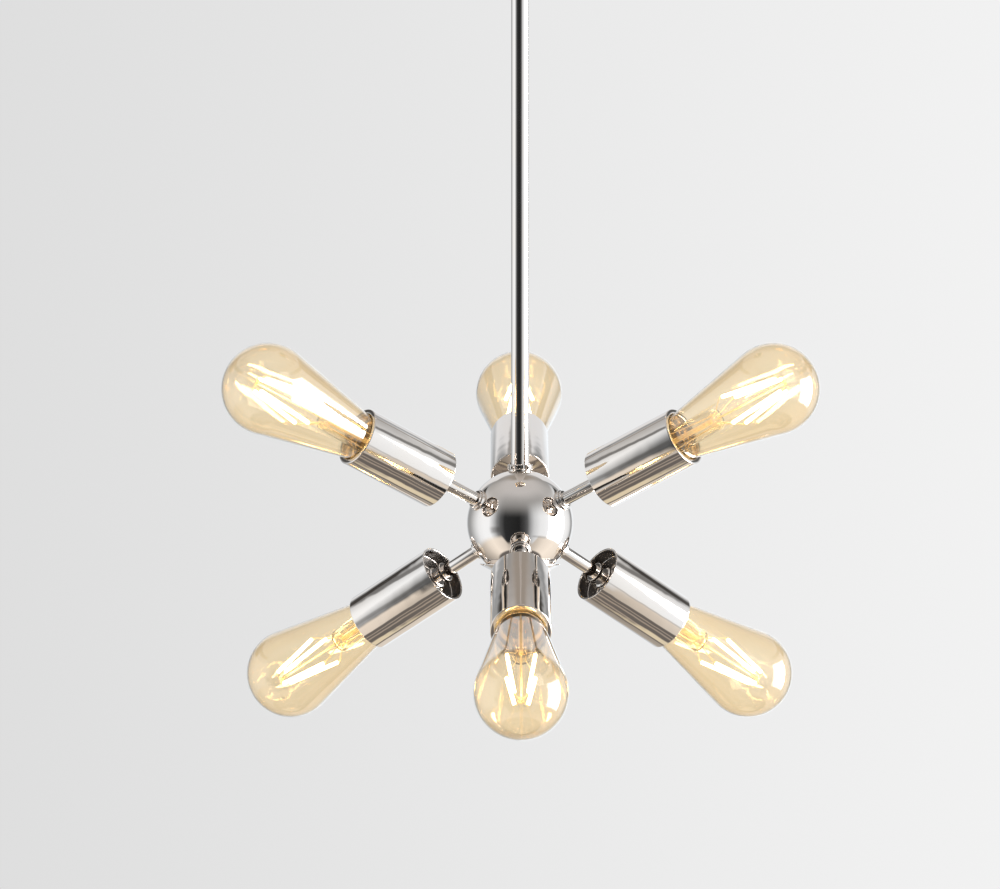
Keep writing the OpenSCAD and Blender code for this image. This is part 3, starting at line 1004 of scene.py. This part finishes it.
class CHANDELIER_OT_arms(Operator):
    """Turns the six arms, the rings at the hub and the nuts behind the sleeves"""

    bl_idname = "chandelier.arms"
    bl_label = "Arms, Rings and Nuts"

    radius = 4.75 * MM
    thread = 4 * MM
    bore = 3 * MM
    root = 0.35 * MM
    start = 30 * MM
    flange = 7.5 * MM
    ring = 6.5 * MM
    ring_height = 1.6 * MM
    jam = 7.2 * MM
    jam_height = 2.4 * MM
    nut = 8 * MM

    def execute(self, context):
        turned = context.scene.chandelier_turned
        arm = ARMS[0]
        sleeve_start = arm.reach("sleeve_" + arm.name)[0]
        shoulder = sleeve_start - ARM_NECK
        end = sleeve_start + ARM_TAIL
        tube = turn_piece("arm_pattern", rounded([
            (self.bore, self.start, 0),
            (self.radius, self.start, turned.edge),
            (self.radius, shoulder, turned.edge),
            (self.thread - self.root, shoulder, 0),
            (self.thread - self.root, end, 0),
            (self.bore, end, 0),
        ]), segments=64)
        thread = self.fine_thread(shoulder, end, turned.thread_pitch)
        rings = self.hub_rings(turned.edge)
        nuts = self.sleeve_nuts(sleeve_start, shoulder)
        collars, locks = [], []
        for arm in ARMS:
            pipe = put_along(tube, arm, "arm_tube_" + arm.name)
            give(pipe, polished_nickel(), HANGING, "polished_nickel", "arm_tubes")
            spiral = put_along(thread, arm, "arm_thread_" + arm.name)
            give(spiral, threaded_nickel(), HANGING, "polished_nickel", "arm_tubes")
            collars.append(put_along(rings, arm, "hub_collar_" + arm.name))
            locks.append(put_along(nuts, arm, "sleeve_nut_" + arm.name))
        for piece in collars:
            give(piece, polished_nickel(), HANGING, "polished_nickel", "hub_collars")
        for piece in locks:
            give(piece, polished_nickel(), HANGING, "polished_nickel", "sleeve_nuts")
        discard(tube, thread, rings, nuts)
        return {"FINISHED"}

    def fine_thread(self, low, high, pitch):
        """The V thread that the sleeve's nuts run on."""
        crest, root = self.thread - 0.02 * MM, self.thread - self.root - 0.05 * MM
        outline = [(root, 0), (crest, 0.45 * pitch), (crest, 0.55 * pitch), (root, pitch)]
        turns = int((high - low) / pitch) - 1
        spiral = helix_piece("thread_pattern", outline, pitch, turns, segments=32)
        return lift(spiral, z=low + 0.4 * pitch)

    def hub_rings(self, edge):
        """The flange that sits on the ball, and the narrower ring outside it."""
        top = BALL + self.ring_height
        foot = top + 0.05 * MM
        base = (BALL ** 2 - self.flange ** 2) ** 0.5
        seat = (BALL ** 2 - self.radius ** 2) ** 0.5
        lower = turn_piece("flange_pattern", rounded([
            (self.radius, seat, 0),
            (self.flange, base, 0),
            (self.flange, top, 0.4 * MM),
            (self.radius, top, 0),
        ]), segments=72)
        upper = turn_piece("ring_pattern", rounded([
            (self.radius, foot, 0),
            (self.ring, foot, edge),
            (self.ring, top + self.ring_height, 0.45 * MM),
            (self.radius, top + self.ring_height, 0),
        ]), segments=72)
        return join("rings_pattern", [lower, upper])

    def sleeve_nuts(self, sleeve_start, shoulder):
        """The jam ring at the end of the arm, and the grooved nut on the sleeve's web."""
        web = sleeve_start + WEB_DEPTH
        jam = turn_piece("jam_pattern", rounded([
            (self.thread, shoulder, 0),
            (self.jam, shoulder, 0.4 * MM),
            (self.jam, shoulder + self.jam_height, 0.4 * MM),
            (self.thread, shoulder + self.jam_height, 0),
        ]), segments=72)
        nut = turn_piece("nut_pattern", rounded([
            (self.thread, web - 4.2 * MM, 0),
            (self.nut - 1.4 * MM, web - 4.2 * MM, 0.3 * MM),
            (self.nut, web - 3.6 * MM, 0.3 * MM),
            (self.nut, web - 2.1 * MM, 0.2 * MM),
            (self.nut - 0.5 * MM, web - 1.8 * MM, 0.2 * MM),
            (self.nut, web - 1.5 * MM, 0.2 * MM),
            (self.nut, web, 0.2 * MM),
            (self.thread, web, 0),
        ]), segments=72)
        return join("nuts_pattern", [jam, nut])


class CHANDELIER_OT_sleeves(Operator):
    """Turns the six socket sleeves, open behind a web and lipped at the mouth, with a dark liner in
    the rear recess as painted shade
    """

    bl_idname = "chandelier.sleeves"
    bl_label = "Socket Sleeves"

    radius = 21 * MM
    wall = 1.4 * MM
    web_hole = 4 * MM
    lip = 17.6 * MM
    lip_thick = 2.5 * MM
    lip_round = 0.8 * MM
    shade_liner_wall = 0.3 * MM
    shade_liner_inset = 1 * MM

    def execute(self, context):
        arm = ARMS[0]
        start, end = arm.reach("sleeve_" + arm.name)
        inner = self.radius - self.wall
        outline = rounded([
            (inner, start, 0.35 * MM),
            (self.radius, start, 0.45 * MM),
            (self.radius, end, self.lip_round),
            (self.lip, end, self.lip_round),
            (self.lip, end - self.lip_thick, 0.3 * MM),
            (inner, end - self.lip_thick, 0),
            (inner, start + WEB_DEPTH + WEB_THICK, 0.3 * MM),
            (self.web_hole, start + WEB_DEPTH + WEB_THICK, 0),
            (self.web_hole, start + WEB_DEPTH, 0),
            (inner, start + WEB_DEPTH, 1.2 * MM),
        ], steps=6)
        pattern = turn_piece("sleeve_pattern", outline, segments=144)
        # Painted shade: a dark liner in the rear recess stands in for the dark reflections there.
        liner = turn_piece("shade_liner_pattern", [
            (inner, start + self.shade_liner_inset),
            (inner, start + WEB_DEPTH),
            (inner - self.shade_liner_wall, start + WEB_DEPTH),
            (inner - self.shade_liner_wall, start + self.shade_liner_inset + 0.2 * MM),
        ], segments=144)
        for arm in ARMS:
            sleeve = put_along(pattern, arm, "sleeve_turned_" + arm.name)
            give(sleeve, rippled_nickel(), HANGING, "polished_nickel", "sleeve_" + arm.name)
            # The dark liner behind the web is painted shade.
            dark = put_along(liner, arm, "sleeve_liner_" + arm.name)
            give(dark, phenolic(), HANGING, "phenolic", "sleeve_liners")
        discard(pattern, liner)
        return {"FINISHED"}


class CHANDELIER_OT_lampholders(Operator):
    """Moulds the six lampholders and rolls the threaded shells inside them"""

    bl_idname = "chandelier.lampholders"
    bl_label = "Lampholders"

    radius = 17.5 * MM
    shell = 13.7 * MM
    shell_bore = 13.3 * MM
    arm_hole = 4 * MM
    wiring = 12.5 * MM
    contact_hole = 2 * MM
    rim = 24 * MM             # its mouth, from the tip of the bulb's contact
    floor = 4 * MM            # how far below that tip the shell's floor is
    floor_thick = 5 * MM
    base = 6 * MM

    def execute(self, context):
        pitch = context.scene.chandelier_bulb.cap_pitch
        arm = ARMS[0]
        contact = arm.reach("bulb_contact_" + arm.name)[0]
        web_top = arm.reach("sleeve_" + arm.name)[0] + WEB_DEPTH + WEB_THICK
        low, high = web_top, contact + self.rim
        floor = contact - self.floor
        cavity = web_top + self.base
        body = turn_piece("holder_pattern", rounded([
            (self.arm_hole, low, 0),
            (self.radius, low, 1 * MM),
            (self.radius, high, 1 * MM),
            (self.shell, high, 0.3 * MM),
            (self.shell, floor, 0),
            (self.contact_hole, floor, 0),
            (self.contact_hole, floor - self.floor_thick, 0),
            (self.wiring, floor - self.floor_thick, 0.5 * MM),
            (self.wiring, cavity, 0.5 * MM),
            (self.arm_hole, cavity, 0),
        ]), segments=96)
        shell = self.threaded_shell(floor, pitch)
        for arm in ARMS:
            holder = put_along(body, arm, "lampholder_" + arm.name)
            give(holder, porcelain(), HANGING, "porcelain", "lampholders")
            thread = put_along(shell, arm, "screw_shell_" + arm.name)
            give(thread, turned_brass(), HANGING, "brass", "screw_shells")
        discard(body, shell)
        return {"FINISHED"}

    def threaded_shell(self, floor, pitch):
        """A thin brass shell rolled into a round thread."""
        turns = 5
        wave = []
        for i in range(13):
            t = i / 12
            wave.append((self.shell_bore + 0.2 * MM - 0.14 * MM * cos(2 * pi * t), pitch * t))
        shell = helix_piece("shell_pattern", wave, pitch, turns, segments=64)
        take(shell)
        thick = shell.modifiers.new("wall", "SOLIDIFY")
        thick.thickness = 0.2 * MM
        thick.offset = 0
        bpy.ops.object.modifier_apply(modifier="wall")
        return lift(finish_mesh(shell, 60), z=floor + 0.8 * MM)


class CHANDELIER_OT_bulb_glass(Operator):
    """Blows the six bulbs: an envelope with a long cone and a round crown, and its glass stem"""

    bl_idname = "chandelier.bulb_glass"
    bl_label = "Bulb Glass"

    wall = 0.9 * MM
    radius = 32 * MM
    taper = 11.6
    neck = 12.3 * MM
    mouth_height = 32.3 * MM

    def execute(self, context):
        arm = ARMS[0]
        contact = arm.reach("bulb_contact_" + arm.name)[0]
        tip = arm.reach("bulb_glass_" + arm.name)[1]
        length = tip - contact
        envelope = self.envelope(length)
        stem = self.glass_stem()
        lift(envelope, z=contact)
        lift(stem, z=contact)
        for arm in ARMS:
            body = "bulb_" + arm.name
            glass = put_along(envelope, arm, "bulb_envelope_" + arm.name)
            give(glass, amber_glass(), body, "amber_glass", "bulb_glass_" + arm.name)
            mount = put_along(stem, arm, "bulb_stem_" + arm.name)
            give(mount, stem_glass(), body, "amber_glass", "bulb_glass_" + arm.name)
        discard(envelope, stem)
        return {"FINISHED"}

    def profile(self, length, inset):
        """The envelope's outline from neck to crown, moved inwards by inset."""
        centre = length - self.radius
        join_height = centre - self.radius * sin(radians(self.taper))
        join_radius = self.radius * cos(radians(self.taper))
        mouth = join_radius - (join_height - self.mouth_height) * tan(radians(self.taper))
        neck = self.neck - inset
        points = [
            (neck, 20 * MM),
            (neck, 24.5 * MM + inset),
            (neck + 0.5 * MM, 25.8 * MM + inset * 0.7),
            (neck + 1.9 * MM, 27.2 * MM + inset * 0.5),
            (neck + 3.2 * MM, 28.9 * MM + inset * 0.3),
            (mouth - inset - 0.3 * MM, 30.8 * MM),
        ]
        steps = 12
        for i in range(steps):
            t = i / steps
            points.append((
                mouth + (join_radius - mouth) * t - inset,
                self.mouth_height + (join_height - self.mouth_height) * t))
        points += arc((0, centre), self.radius - inset, -self.taper, 90, 40)
        return points

    def envelope(self, length):
        outer = self.profile(length, 0)
        inner = self.profile(length, self.wall)
        outline = outer + list(reversed(inner))
        return turn_piece("envelope_pattern", outline, segments=96, smooth=60)

    def glass_stem(self):
        """The flared tube that carries the filaments, closed by a rounded end."""
        outline = [
            (11.0 * MM, 23.0 * MM),
            (10.2 * MM, 27.0 * MM),
            (9.2 * MM, 31.0 * MM),
            (8.7 * MM, 36.0 * MM),
            (8.4 * MM, 44.0 * MM),
            (8.2 * MM, 54.0 * MM),
            (8.0 * MM, 59.0 * MM),
        ]
        outline += arc((5.4 * MM, 60.4 * MM), 2.6 * MM, 5, 90, 6)
        outline += [(0, 63.0 * MM)]
        inner = [(max(0, r - 1.0 * MM), z - (1.2 * MM if z > 58 * MM else 0)) for r, z in outline]
        inner[-1] = (0, 61.4 * MM)
        return turn_piece("stem_pattern", outline + list(reversed(inner)), segments=48, smooth=60)


class CHANDELIER_OT_bulb_caps(Operator):
    """Rolls the bulbs' threaded caps, with the black insulator and soldered contact"""

    bl_idname = "chandelier.bulb_caps"
    bl_label = "Bulb Caps"

    radius = 13 * MM
    root = 0.55 * MM
    wall = 0.4 * MM
    skirt = 13.4 * MM
    neck = 12.3 * MM

    def execute(self, context):
        pitch = context.scene.chandelier_bulb.cap_pitch
        arm = ARMS[0]
        contact = arm.reach("bulb_contact_" + arm.name)[0]
        cap = lift(self.cap(pitch), z=contact)
        insulator = turn_piece("insulator_pattern", rounded([
            (2.3 * MM, 1.2 * MM, 0),
            (4.5 * MM, 1.2 * MM, 0.3 * MM),
            (9.2 * MM, 3.4 * MM, 0),
            (2.3 * MM, 3.4 * MM, 0),
        ]), segments=64)
        lift(insulator, z=contact)
        drop = [(0, 0)]
        drop += arc((1.2 * MM, 1.2 * MM), 1.2 * MM, -90, 0, 6)
        drop += [(2.4 * MM, 1.6 * MM), (0, 1.6 * MM)]
        button = lift(turn_piece("button_pattern", drop, segments=32, closed=False), z=contact)
        for arm in ARMS:
            shell = put_along(cap, arm, "bulb_cap_" + arm.name)
            give(shell, cap_metal(), "bulb_" + arm.name, "bulb_cap", "bulb_base_" + arm.name)
            carrier = "bulb_contact_" + arm.name + "_body"
            ring = put_along(insulator, arm, "bulb_insulator_" + arm.name)
            give(ring, black_glass(), carrier, "bulb_insulator", "bulb_contact_" + arm.name)
            dot = put_along(button, arm, "bulb_button_" + arm.name)
            give(dot, solder(), carrier, "bulb_insulator", "bulb_contact_" + arm.name)
        discard(cap, insulator, button)
        return {"FINISHED"}

    def cap(self, pitch):
        """Five turns of round thread between a tapered foot and a plain skirt."""
        turns = 5
        wave = []
        for i in range(17):
            t = i / 16
            swing = 0.5 - 0.5 * cos(2 * pi * t)
            wave.append((self.radius - self.root + self.root * swing, pitch * t))
        thread = helix_piece("cap_thread", wave, pitch, turns, segments=72)
        lift(thread, z=4.6 * MM)
        low_root = self.radius - self.root
        foot = turn_piece("cap_foot", [
            (low_root - 0.1 * MM, 9.5 * MM),
            (low_root - 0.1 * MM, 6.4 * MM),
            (9.8 * MM, 3.5 * MM),
            (9.4 * MM, 3.8 * MM),
            (low_root - 0.6 * MM, 6.8 * MM),
            (low_root - 0.6 * MM, 9.5 * MM),
        ], segments=72)
        skirt = turn_piece("cap_skirt", rounded([
            (low_root - 0.6 * MM, 20.5 * MM, 0),
            (low_root - 0.1 * MM, 20.5 * MM, 0),
            (low_root - 0.1 * MM, 23.9 * MM, 0.3 * MM),
            (self.skirt, 24.5 * MM, 0.3 * MM),
            (self.skirt, 25.3 * MM, 0.4 * MM),
            (self.neck + 0.05 * MM, 25.4 * MM, 0),
            (self.neck + 0.05 * MM, 24.6 * MM, 0),
        ]), segments=72)
        return join("cap_pattern", [thread, foot, skirt])


class CHANDELIER_OT_filaments(Operator):
    """Hangs the filaments, their wires and the central rod inside the six bulbs"""

    bl_idname = "chandelier.filaments"
    bl_label = "Filaments"

    low = 75 * MM
    high = 116 * MM
    spread = 14 * MM
    gather = 6.5 * MM
    radius = 1.3 * MM
    wire = 0.3 * MM
    tab = 1.6 * MM
    tab_radius = 0.45 * MM
    stem_top = 63 * MM
    over = 2.4 * MM

    def execute(self, context):
        bulb = context.scene.chandelier_bulb
        arm = ARMS[0]
        contact = arm.reach("bulb_contact_" + arm.name)[0]
        sticks, wires = [], []
        for i in range(bulb.filaments):
            turn = 2 * pi * (i + 0.5) / bulb.filaments
            stick, leads = self.one_filament(turn)
            sticks.append(stick)
            wires += leads
        wires += self.centre_rod()
        lit = lift(join("sticks_pattern", sticks), z=contact)
        metal = lift(join("wires_pattern", wires), z=contact)
        for arm in ARMS:
            body = "bulb_" + arm.name
            glowing = put_along(lit, arm, "filaments_" + arm.name)
            give(glowing, lit_filament(), body, "led_filament", "filament_" + arm.name)
            frame_wire = put_along(metal, arm, "filament_wires_" + arm.name)
            give(frame_wire, painted_glow_wire(), body, "led_filament", "filament_" + arm.name)
        discard(lit, metal)
        return {"FINISHED"}

    def one_filament(self, turn):
        """One filament and the two wires that it is welded to."""
        def at(radius, height):
            return Vector((radius * cos(turn), radius * sin(turn), height))

        start, end = at(self.spread, self.low), at(self.gather, self.high)
        stick = rod_piece("stick", start, end, self.radius, dome=True)
        tab = (end - start).normalized() * self.tab
        lower = [
            at(4.5 * MM, self.stem_top - 6 * MM),
            at(5.0 * MM, self.stem_top),
            at(9.5 * MM, self.low - 7 * MM),
            start - tab * 0.8,
        ]
        upper = [
            at(0.2 * MM, self.high + self.over),
            at(3.4 * MM, self.high + self.over + 0.2 * MM),
            end + tab * 0.8,
        ]
        leads = [
            rod_piece("tab", start - tab, start + tab * 0.2, self.tab_radius, 8),
            rod_piece("tab", end - tab * 0.2, end + tab, self.tab_radius, 8),
            bent_wire("wire", lower, self.wire),
            bent_wire("wire", upper, self.wire),
        ]
        return stick, leads

    def centre_rod(self):
        """The rod up the middle, the loop at its end and the two leads inside the stem."""
        top = self.high + self.over
        rod = rod_piece("rod", (0, 0, self.stem_top - 2 * MM), (0, 0, top), 0.7 * MM, 12)
        clear_selection()
        bpy.ops.mesh.primitive_torus_add(
            location=(0, 0, top), major_radius=2.0 * MM, minor_radius=0.4 * MM,
            major_segments=32, minor_segments=10)
        loop = settle(bpy.context.object)
        bpy.ops.object.shade_smooth()
        outer, bore, low, high = 1.7 * MM, 1.1 * MM, 22 * MM, 58 * MM
        tube = turn_piece(
            "exhaust", [(outer, low), (outer, high), (bore, high), (bore, low)], segments=24)
        leads = [
            bent_wire("lead", [
                (side * 6.0 * MM, 0, 22 * MM), (side * 4.6 * MM, 0, 40 * MM),
                (side * 3.4 * MM, 0, 60 * MM)], 0.35 * MM)
            for side in (-1, 1)
        ]
        return [rod, loop, tube] + leads


# ---- studio ----


def studio_world(scene):
    """A pale room: a soft ceiling, a lit and a shaded floor, a soft box and a dark camera side."""
    world = bpy.data.worlds.new("studio")
    scene.world = world
    world.use_nodes = True
    tree = world.node_tree
    tree.nodes.clear()
    place = add(tree, "ShaderNodeTexCoord")
    axes = add(tree, "ShaderNodeSeparateXYZ")
    tree.links.new(place.outputs["Generated"], axes.inputs[0])
    x, y, z = axes.outputs
    # side: degrees to the right of the front; height: degrees above the horizon
    front = calc(tree, "MULTIPLY", y, -1.0)
    side = calc(tree, "MULTIPLY", calc(tree, "ARCTAN2", x, front), 180 / pi)
    height = calc(tree, "MULTIPLY", calc(tree, "ARCSINE", z), 180 / pi)
    away = calc(tree, "ABSOLUTE", side)

    low = lit_floor_share(tree, height, away)
    room = blend(tree, low, walls(tree, side), lit_floor(tree, side))
    room = blend(tree, ceiling_share(tree, height, away), room, ceiling(tree, side, height))
    shades = (
        (0.75, (27, 30, 33, 36), away, (66, 80, 139, 145)),         # high on both side walls
        (0.92, (17, 21, 33, 36), away, (116, 124, 139, 144)),       # on the walls behind
        (0.3, (-31, -28, -27, -24), side, (24, 34, 60, 70)),        # foot of the right wall
        (0.45, (-22, -15, -11, -4), side, (-76, -62, -50, -40)),    # foot of the left wall
    )
    for share, heights, turn, turns in shades:
        patch = calc(tree, "MULTIPLY", band(tree, height, *heights), band(tree, turn, *turns))
        room = blend(tree, calc(tree, "MULTIPLY", patch, share), room, SHADE)
    pale = calc(
        tree, "MULTIPLY", band(tree, height, 9, 18, 40, 45), soft_step(tree, away, 147, 153))
    room = blend(tree, pale, room, (0.85, 0.87, 0.90, 1))
    room = blend(tree, soft_step(tree, height, -56, -60), room, dark_floor(tree, side, height))
    box = calc(
        tree, "MULTIPLY", band(tree, side, 64, 78, 104, 113), band(tree, height, -29, -20, 14, 21))
    room = blend(tree, box, room, (22.0, 22.0, 22.4, 1))

    plain = blend(
        tree, soft_step(tree, x, -0.2, 0.2), (0.70, 0.70, 0.70, 1), (0.92, 0.92, 0.92, 1))
    path = tree.nodes.new("ShaderNodeLightPath")
    mirrored = calc(
        tree, "MAXIMUM", path.outputs["Is Reflection Ray"], path.outputs["Is Diffuse Ray"])
    light = add(tree, "ShaderNodeBackground")
    output = add(tree, "ShaderNodeOutputWorld")
    tree.links.new(blend(tree, mirrored, plain, room), light.inputs["Color"])
    tree.links.new(light.outputs[0], output.inputs["Surface"])


def walls(tree, side):
    return ramp(tree, side, [
        (-180, 0.72), (-164, 0.60), (-154, 0.34), (-140, 0.38), (-130, 0.52), (-118, 0.75),
        (-104, 1.0), (-88, 1.1), (-72, 1.1), (-62, 0.70), (-52, 0.26), (-44, 0.11), (-34, 0.03),
        (-2, 0.018), (9, 0.06), (16, 0.12), (23, 0.42), (31, 0.72), (45, 0.98), (70, 1.13),
        (118, 1.1), (134, 0.90), (141, 0.60), (147, 0.30), (150, 0.30), (154, 0.85), (170, 1.02),
        (180, 0.95)], (1.0, 1.05, 1.10))


def lit_floor(tree, side):
    return ramp(tree, side, [
        (-180, 0.60), (-165, 0.42), (-150, 0.31), (-135, 0.38), (-120, 0.54), (-105, 0.70),
        (-90, 0.90), (-72, 1.05), (-58, 0.95), (-44, 0.85), (-33, 0.62), (0, 0.55), (30, 0.58),
        (45, 0.72), (62, 0.95), (90, 1.1), (120, 1.0), (140, 0.85), (152, 0.72), (165, 0.8),
        (180, 0.68)], (1.06, 0.97, 0.86))


def dark_floor(tree, side, height):
    """The shaded floor under the light: two paler boards across it, and warm light behind."""
    near = band(tree, height, -72, -70, -69, -67)
    far = band(tree, height, -84, -80, -79, -76)
    boards = calc(tree, "ADD", near, far)
    shaded = blend(tree, boards, (0.17, 0.155, 0.145, 1), (0.44, 0.38, 0.32, 1))
    behind = soft_step(tree, calc(tree, "ABSOLUTE", side), 138, 158)
    glow = calc(tree, "MULTIPLY", behind, band(tree, height, -86, -79, -66, -62))
    return blend(tree, glow, shaded, (0.86, 0.76, 0.56, 1))


def lit_floor_share(tree, height, away):
    """The lit floor starts lower in front of the light than at its sides."""
    raised = calc(tree, "MULTIPLY", soft_step(tree, away, 32, 46), 16.0)
    return soft_step(tree, calc(tree, "SUBTRACT", height, raised), -38, -48)


def ceiling(tree, side, height):
    low = ramp(tree, side, [
        (-180, 0.42), (-165, 0.42), (-150, 0.34), (-135, 0.46), (-110, 0.54), (-75, 0.54),
        (-45, 0.41), (-15, 0.38), (15, 0.40), (60, 0.42), (90, 0.53), (120, 0.50), (150, 0.37),
        (165, 0.50), (180, 0.42)])
    whole = blend(tree, soft_step(tree, height, 42, 72), low, (0.63, 0.62, 0.62, 1))
    behind = soft_step(tree, calc(tree, "ABSOLUTE", side), 140, 166)
    shade = calc(tree, "MULTIPLY", behind, band(tree, height, 44, 54, 66, 76))
    return blend(tree, shade, whole, (0.37, 0.335, 0.30, 1))


def ceiling_share(tree, height, away):
    """The ceiling comes down softly in front, and starts above the wall at the back."""
    front = soft_step(tree, height, 10, 50)
    back = soft_step(tree, height, 36, 42)
    return blend(tree, soft_step(tree, away, 100, 150), front, back)


def band(tree, value, start, full, fade, end):
    """0 outside start to end, 1 between full and fade."""
    rise = soft_step(tree, value, start, full)
    return calc(tree, "MULTIPLY", rise, soft_step(tree, value, end, fade))


def ramp(tree, side, stops, tint=(1.0, 1.0, 1.0)):
    """Brightness round the room: stops are (degrees to the right of the front, brightness)."""
    node = tree.nodes.new("ShaderNodeValToRGB")
    line = node.color_ramp
    while len(line.elements) > 1:
        line.elements.remove(line.elements[-1])
    for i, (angle, bright) in enumerate(stops):
        spot = line.elements[0] if i == 0 else line.elements.new(angle / 360 + 0.5)
        spot.position = angle / 360 + 0.5
        spot.color = (bright * tint[0], bright * tint[1], bright * tint[2], 1)
    tree.links.new(calc(tree, "MULTIPLY_ADD", side, 1 / 360, 0.5), node.inputs["Fac"])
    return node.outputs["Color"]


def blend(tree, share, first, second):
    node = tree.nodes.new("ShaderNodeMix")
    node.data_type = "RGBA"
    node.clamp_factor = True
    for slot, value in ((0, share), (6, first), (7, second)):
        if isinstance(value, (int, float, tuple)):
            node.inputs[slot].default_value = value
        else:
            tree.links.new(value, node.inputs[slot])
    return node.outputs[2]


class CHANDELIER_OT_stage(Operator):
    """Sets the pale floor, the soft studio light and the camera"""

    bl_idname = "chandelier.stage"
    bl_label = "Studio"

    floor_radius = 6.0
    sensor = 36.0

    def execute(self, context):
        scene = context.scene
        studio = scene.chandelier_studio
        scene.view_settings.view_transform = "Standard"
        studio_world(scene)
        self.floor(studio)
        self.key_light()
        self.camera(scene, studio)
        return {"FINISHED"}

    def floor(self, studio):
        low = CAD_BOX[0]
        clear_selection()
        bpy.ops.mesh.primitive_circle_add(
            vertices=96, radius=self.floor_radius, fill_type="NGON",
            location=(0, 0, low.z - studio.floor_drop))
        floor = settle(bpy.context.object)
        floor.name = "studio_floor"
        finish, tree, shader, _ = new_material("studio floor")
        drift = use_group(
            tree, colour_drift(),
            Colour=(0.82, 0.82, 0.81, 1), Other=(0.79, 0.79, 0.78, 1), Size=2.0)
        tree.links.new(drift.outputs["Colour"], shader.inputs["Base Color"])
        shader.inputs["Roughness"].default_value = 0.8
        floor.data.materials.append(finish)
        floor.visible_glossy = False

    def key_light(self):
        light = bpy.data.lights.new("soft key", "AREA")
        light.energy = 9.0
        light.size = 1.2
        lamp = bpy.data.objects.new("soft key", light)
        lamp.location = HUB + Vector((1.5, -1.6, 1.2))
        lamp.rotation_euler = (HUB - lamp.location).to_track_quat("-Z", "Y").to_euler()
        lamp.visible_glossy = False
        lamp.visible_camera = False
        bpy.context.scene.collection.objects.link(lamp)

    def camera(self, scene, studio):
        data = bpy.data.cameras.new("camera")
        data.sensor_width = self.sensor
        data.lens = self.sensor * studio.distance / studio.view_width
        camera = bpy.data.objects.new("camera", data)
        camera.location = HUB + Vector((studio.shift, -studio.distance, studio.rise))
        camera.rotation_euler = (pi / 2, 0, 0)
        scene.collection.objects.link(camera)
        scene.camera = camera


# ---- add-on ----

PIECES = (
    CHANDELIER_OT_kept_nodes,
    CHANDELIER_OT_canopy,
    CHANDELIER_OT_cap_nuts,
    CHANDELIER_OT_swivel,
    CHANDELIER_OT_stem,
    CHANDELIER_OT_hub,
    CHANDELIER_OT_arms,
    CHANDELIER_OT_sleeves,
    CHANDELIER_OT_lampholders,
    CHANDELIER_OT_bulb_glass,
    CHANDELIER_OT_bulb_caps,
    CHANDELIER_OT_filaments,
    CHANDELIER_OT_stage,
)


class CHANDELIER_PT_build(Panel):
    bl_idname = "CHANDELIER_PT_build"
    bl_label = "Cluster Chandelier"
    bl_space_type = "VIEW_3D"
    bl_region_type = "UI"
    bl_category = "Chandelier"

    def draw(self, context):
        layout = self.layout
        for piece in PIECES:
            layout.operator(piece.bl_idname)
        for name, group in SETTINGS.items():
            settings = getattr(context.scene, name)
            box = layout.box()
            for field in group.__annotations__:
                box.prop(settings, field)


def register():
    for name, group in SETTINGS.items():
        bpy.utils.register_class(group)
        setattr(bpy.types.Scene, name, PointerProperty(type=group))
    for piece in PIECES:
        bpy.utils.register_class(piece)
    bpy.utils.register_class(CHANDELIER_PT_build)


def unregister():
    bpy.utils.unregister_class(CHANDELIER_PT_build)
    for piece in reversed(PIECES):
        bpy.utils.unregister_class(piece)
    for name, group in SETTINGS.items():
        delattr(bpy.types.Scene, name)
        bpy.utils.unregister_class(group)


def main():
    register()
    for piece in PIECES:
        area, name = piece.bl_idname.split(".")
        getattr(getattr(bpy.ops, area), name)()


if __name__ == "__main__":
    main()
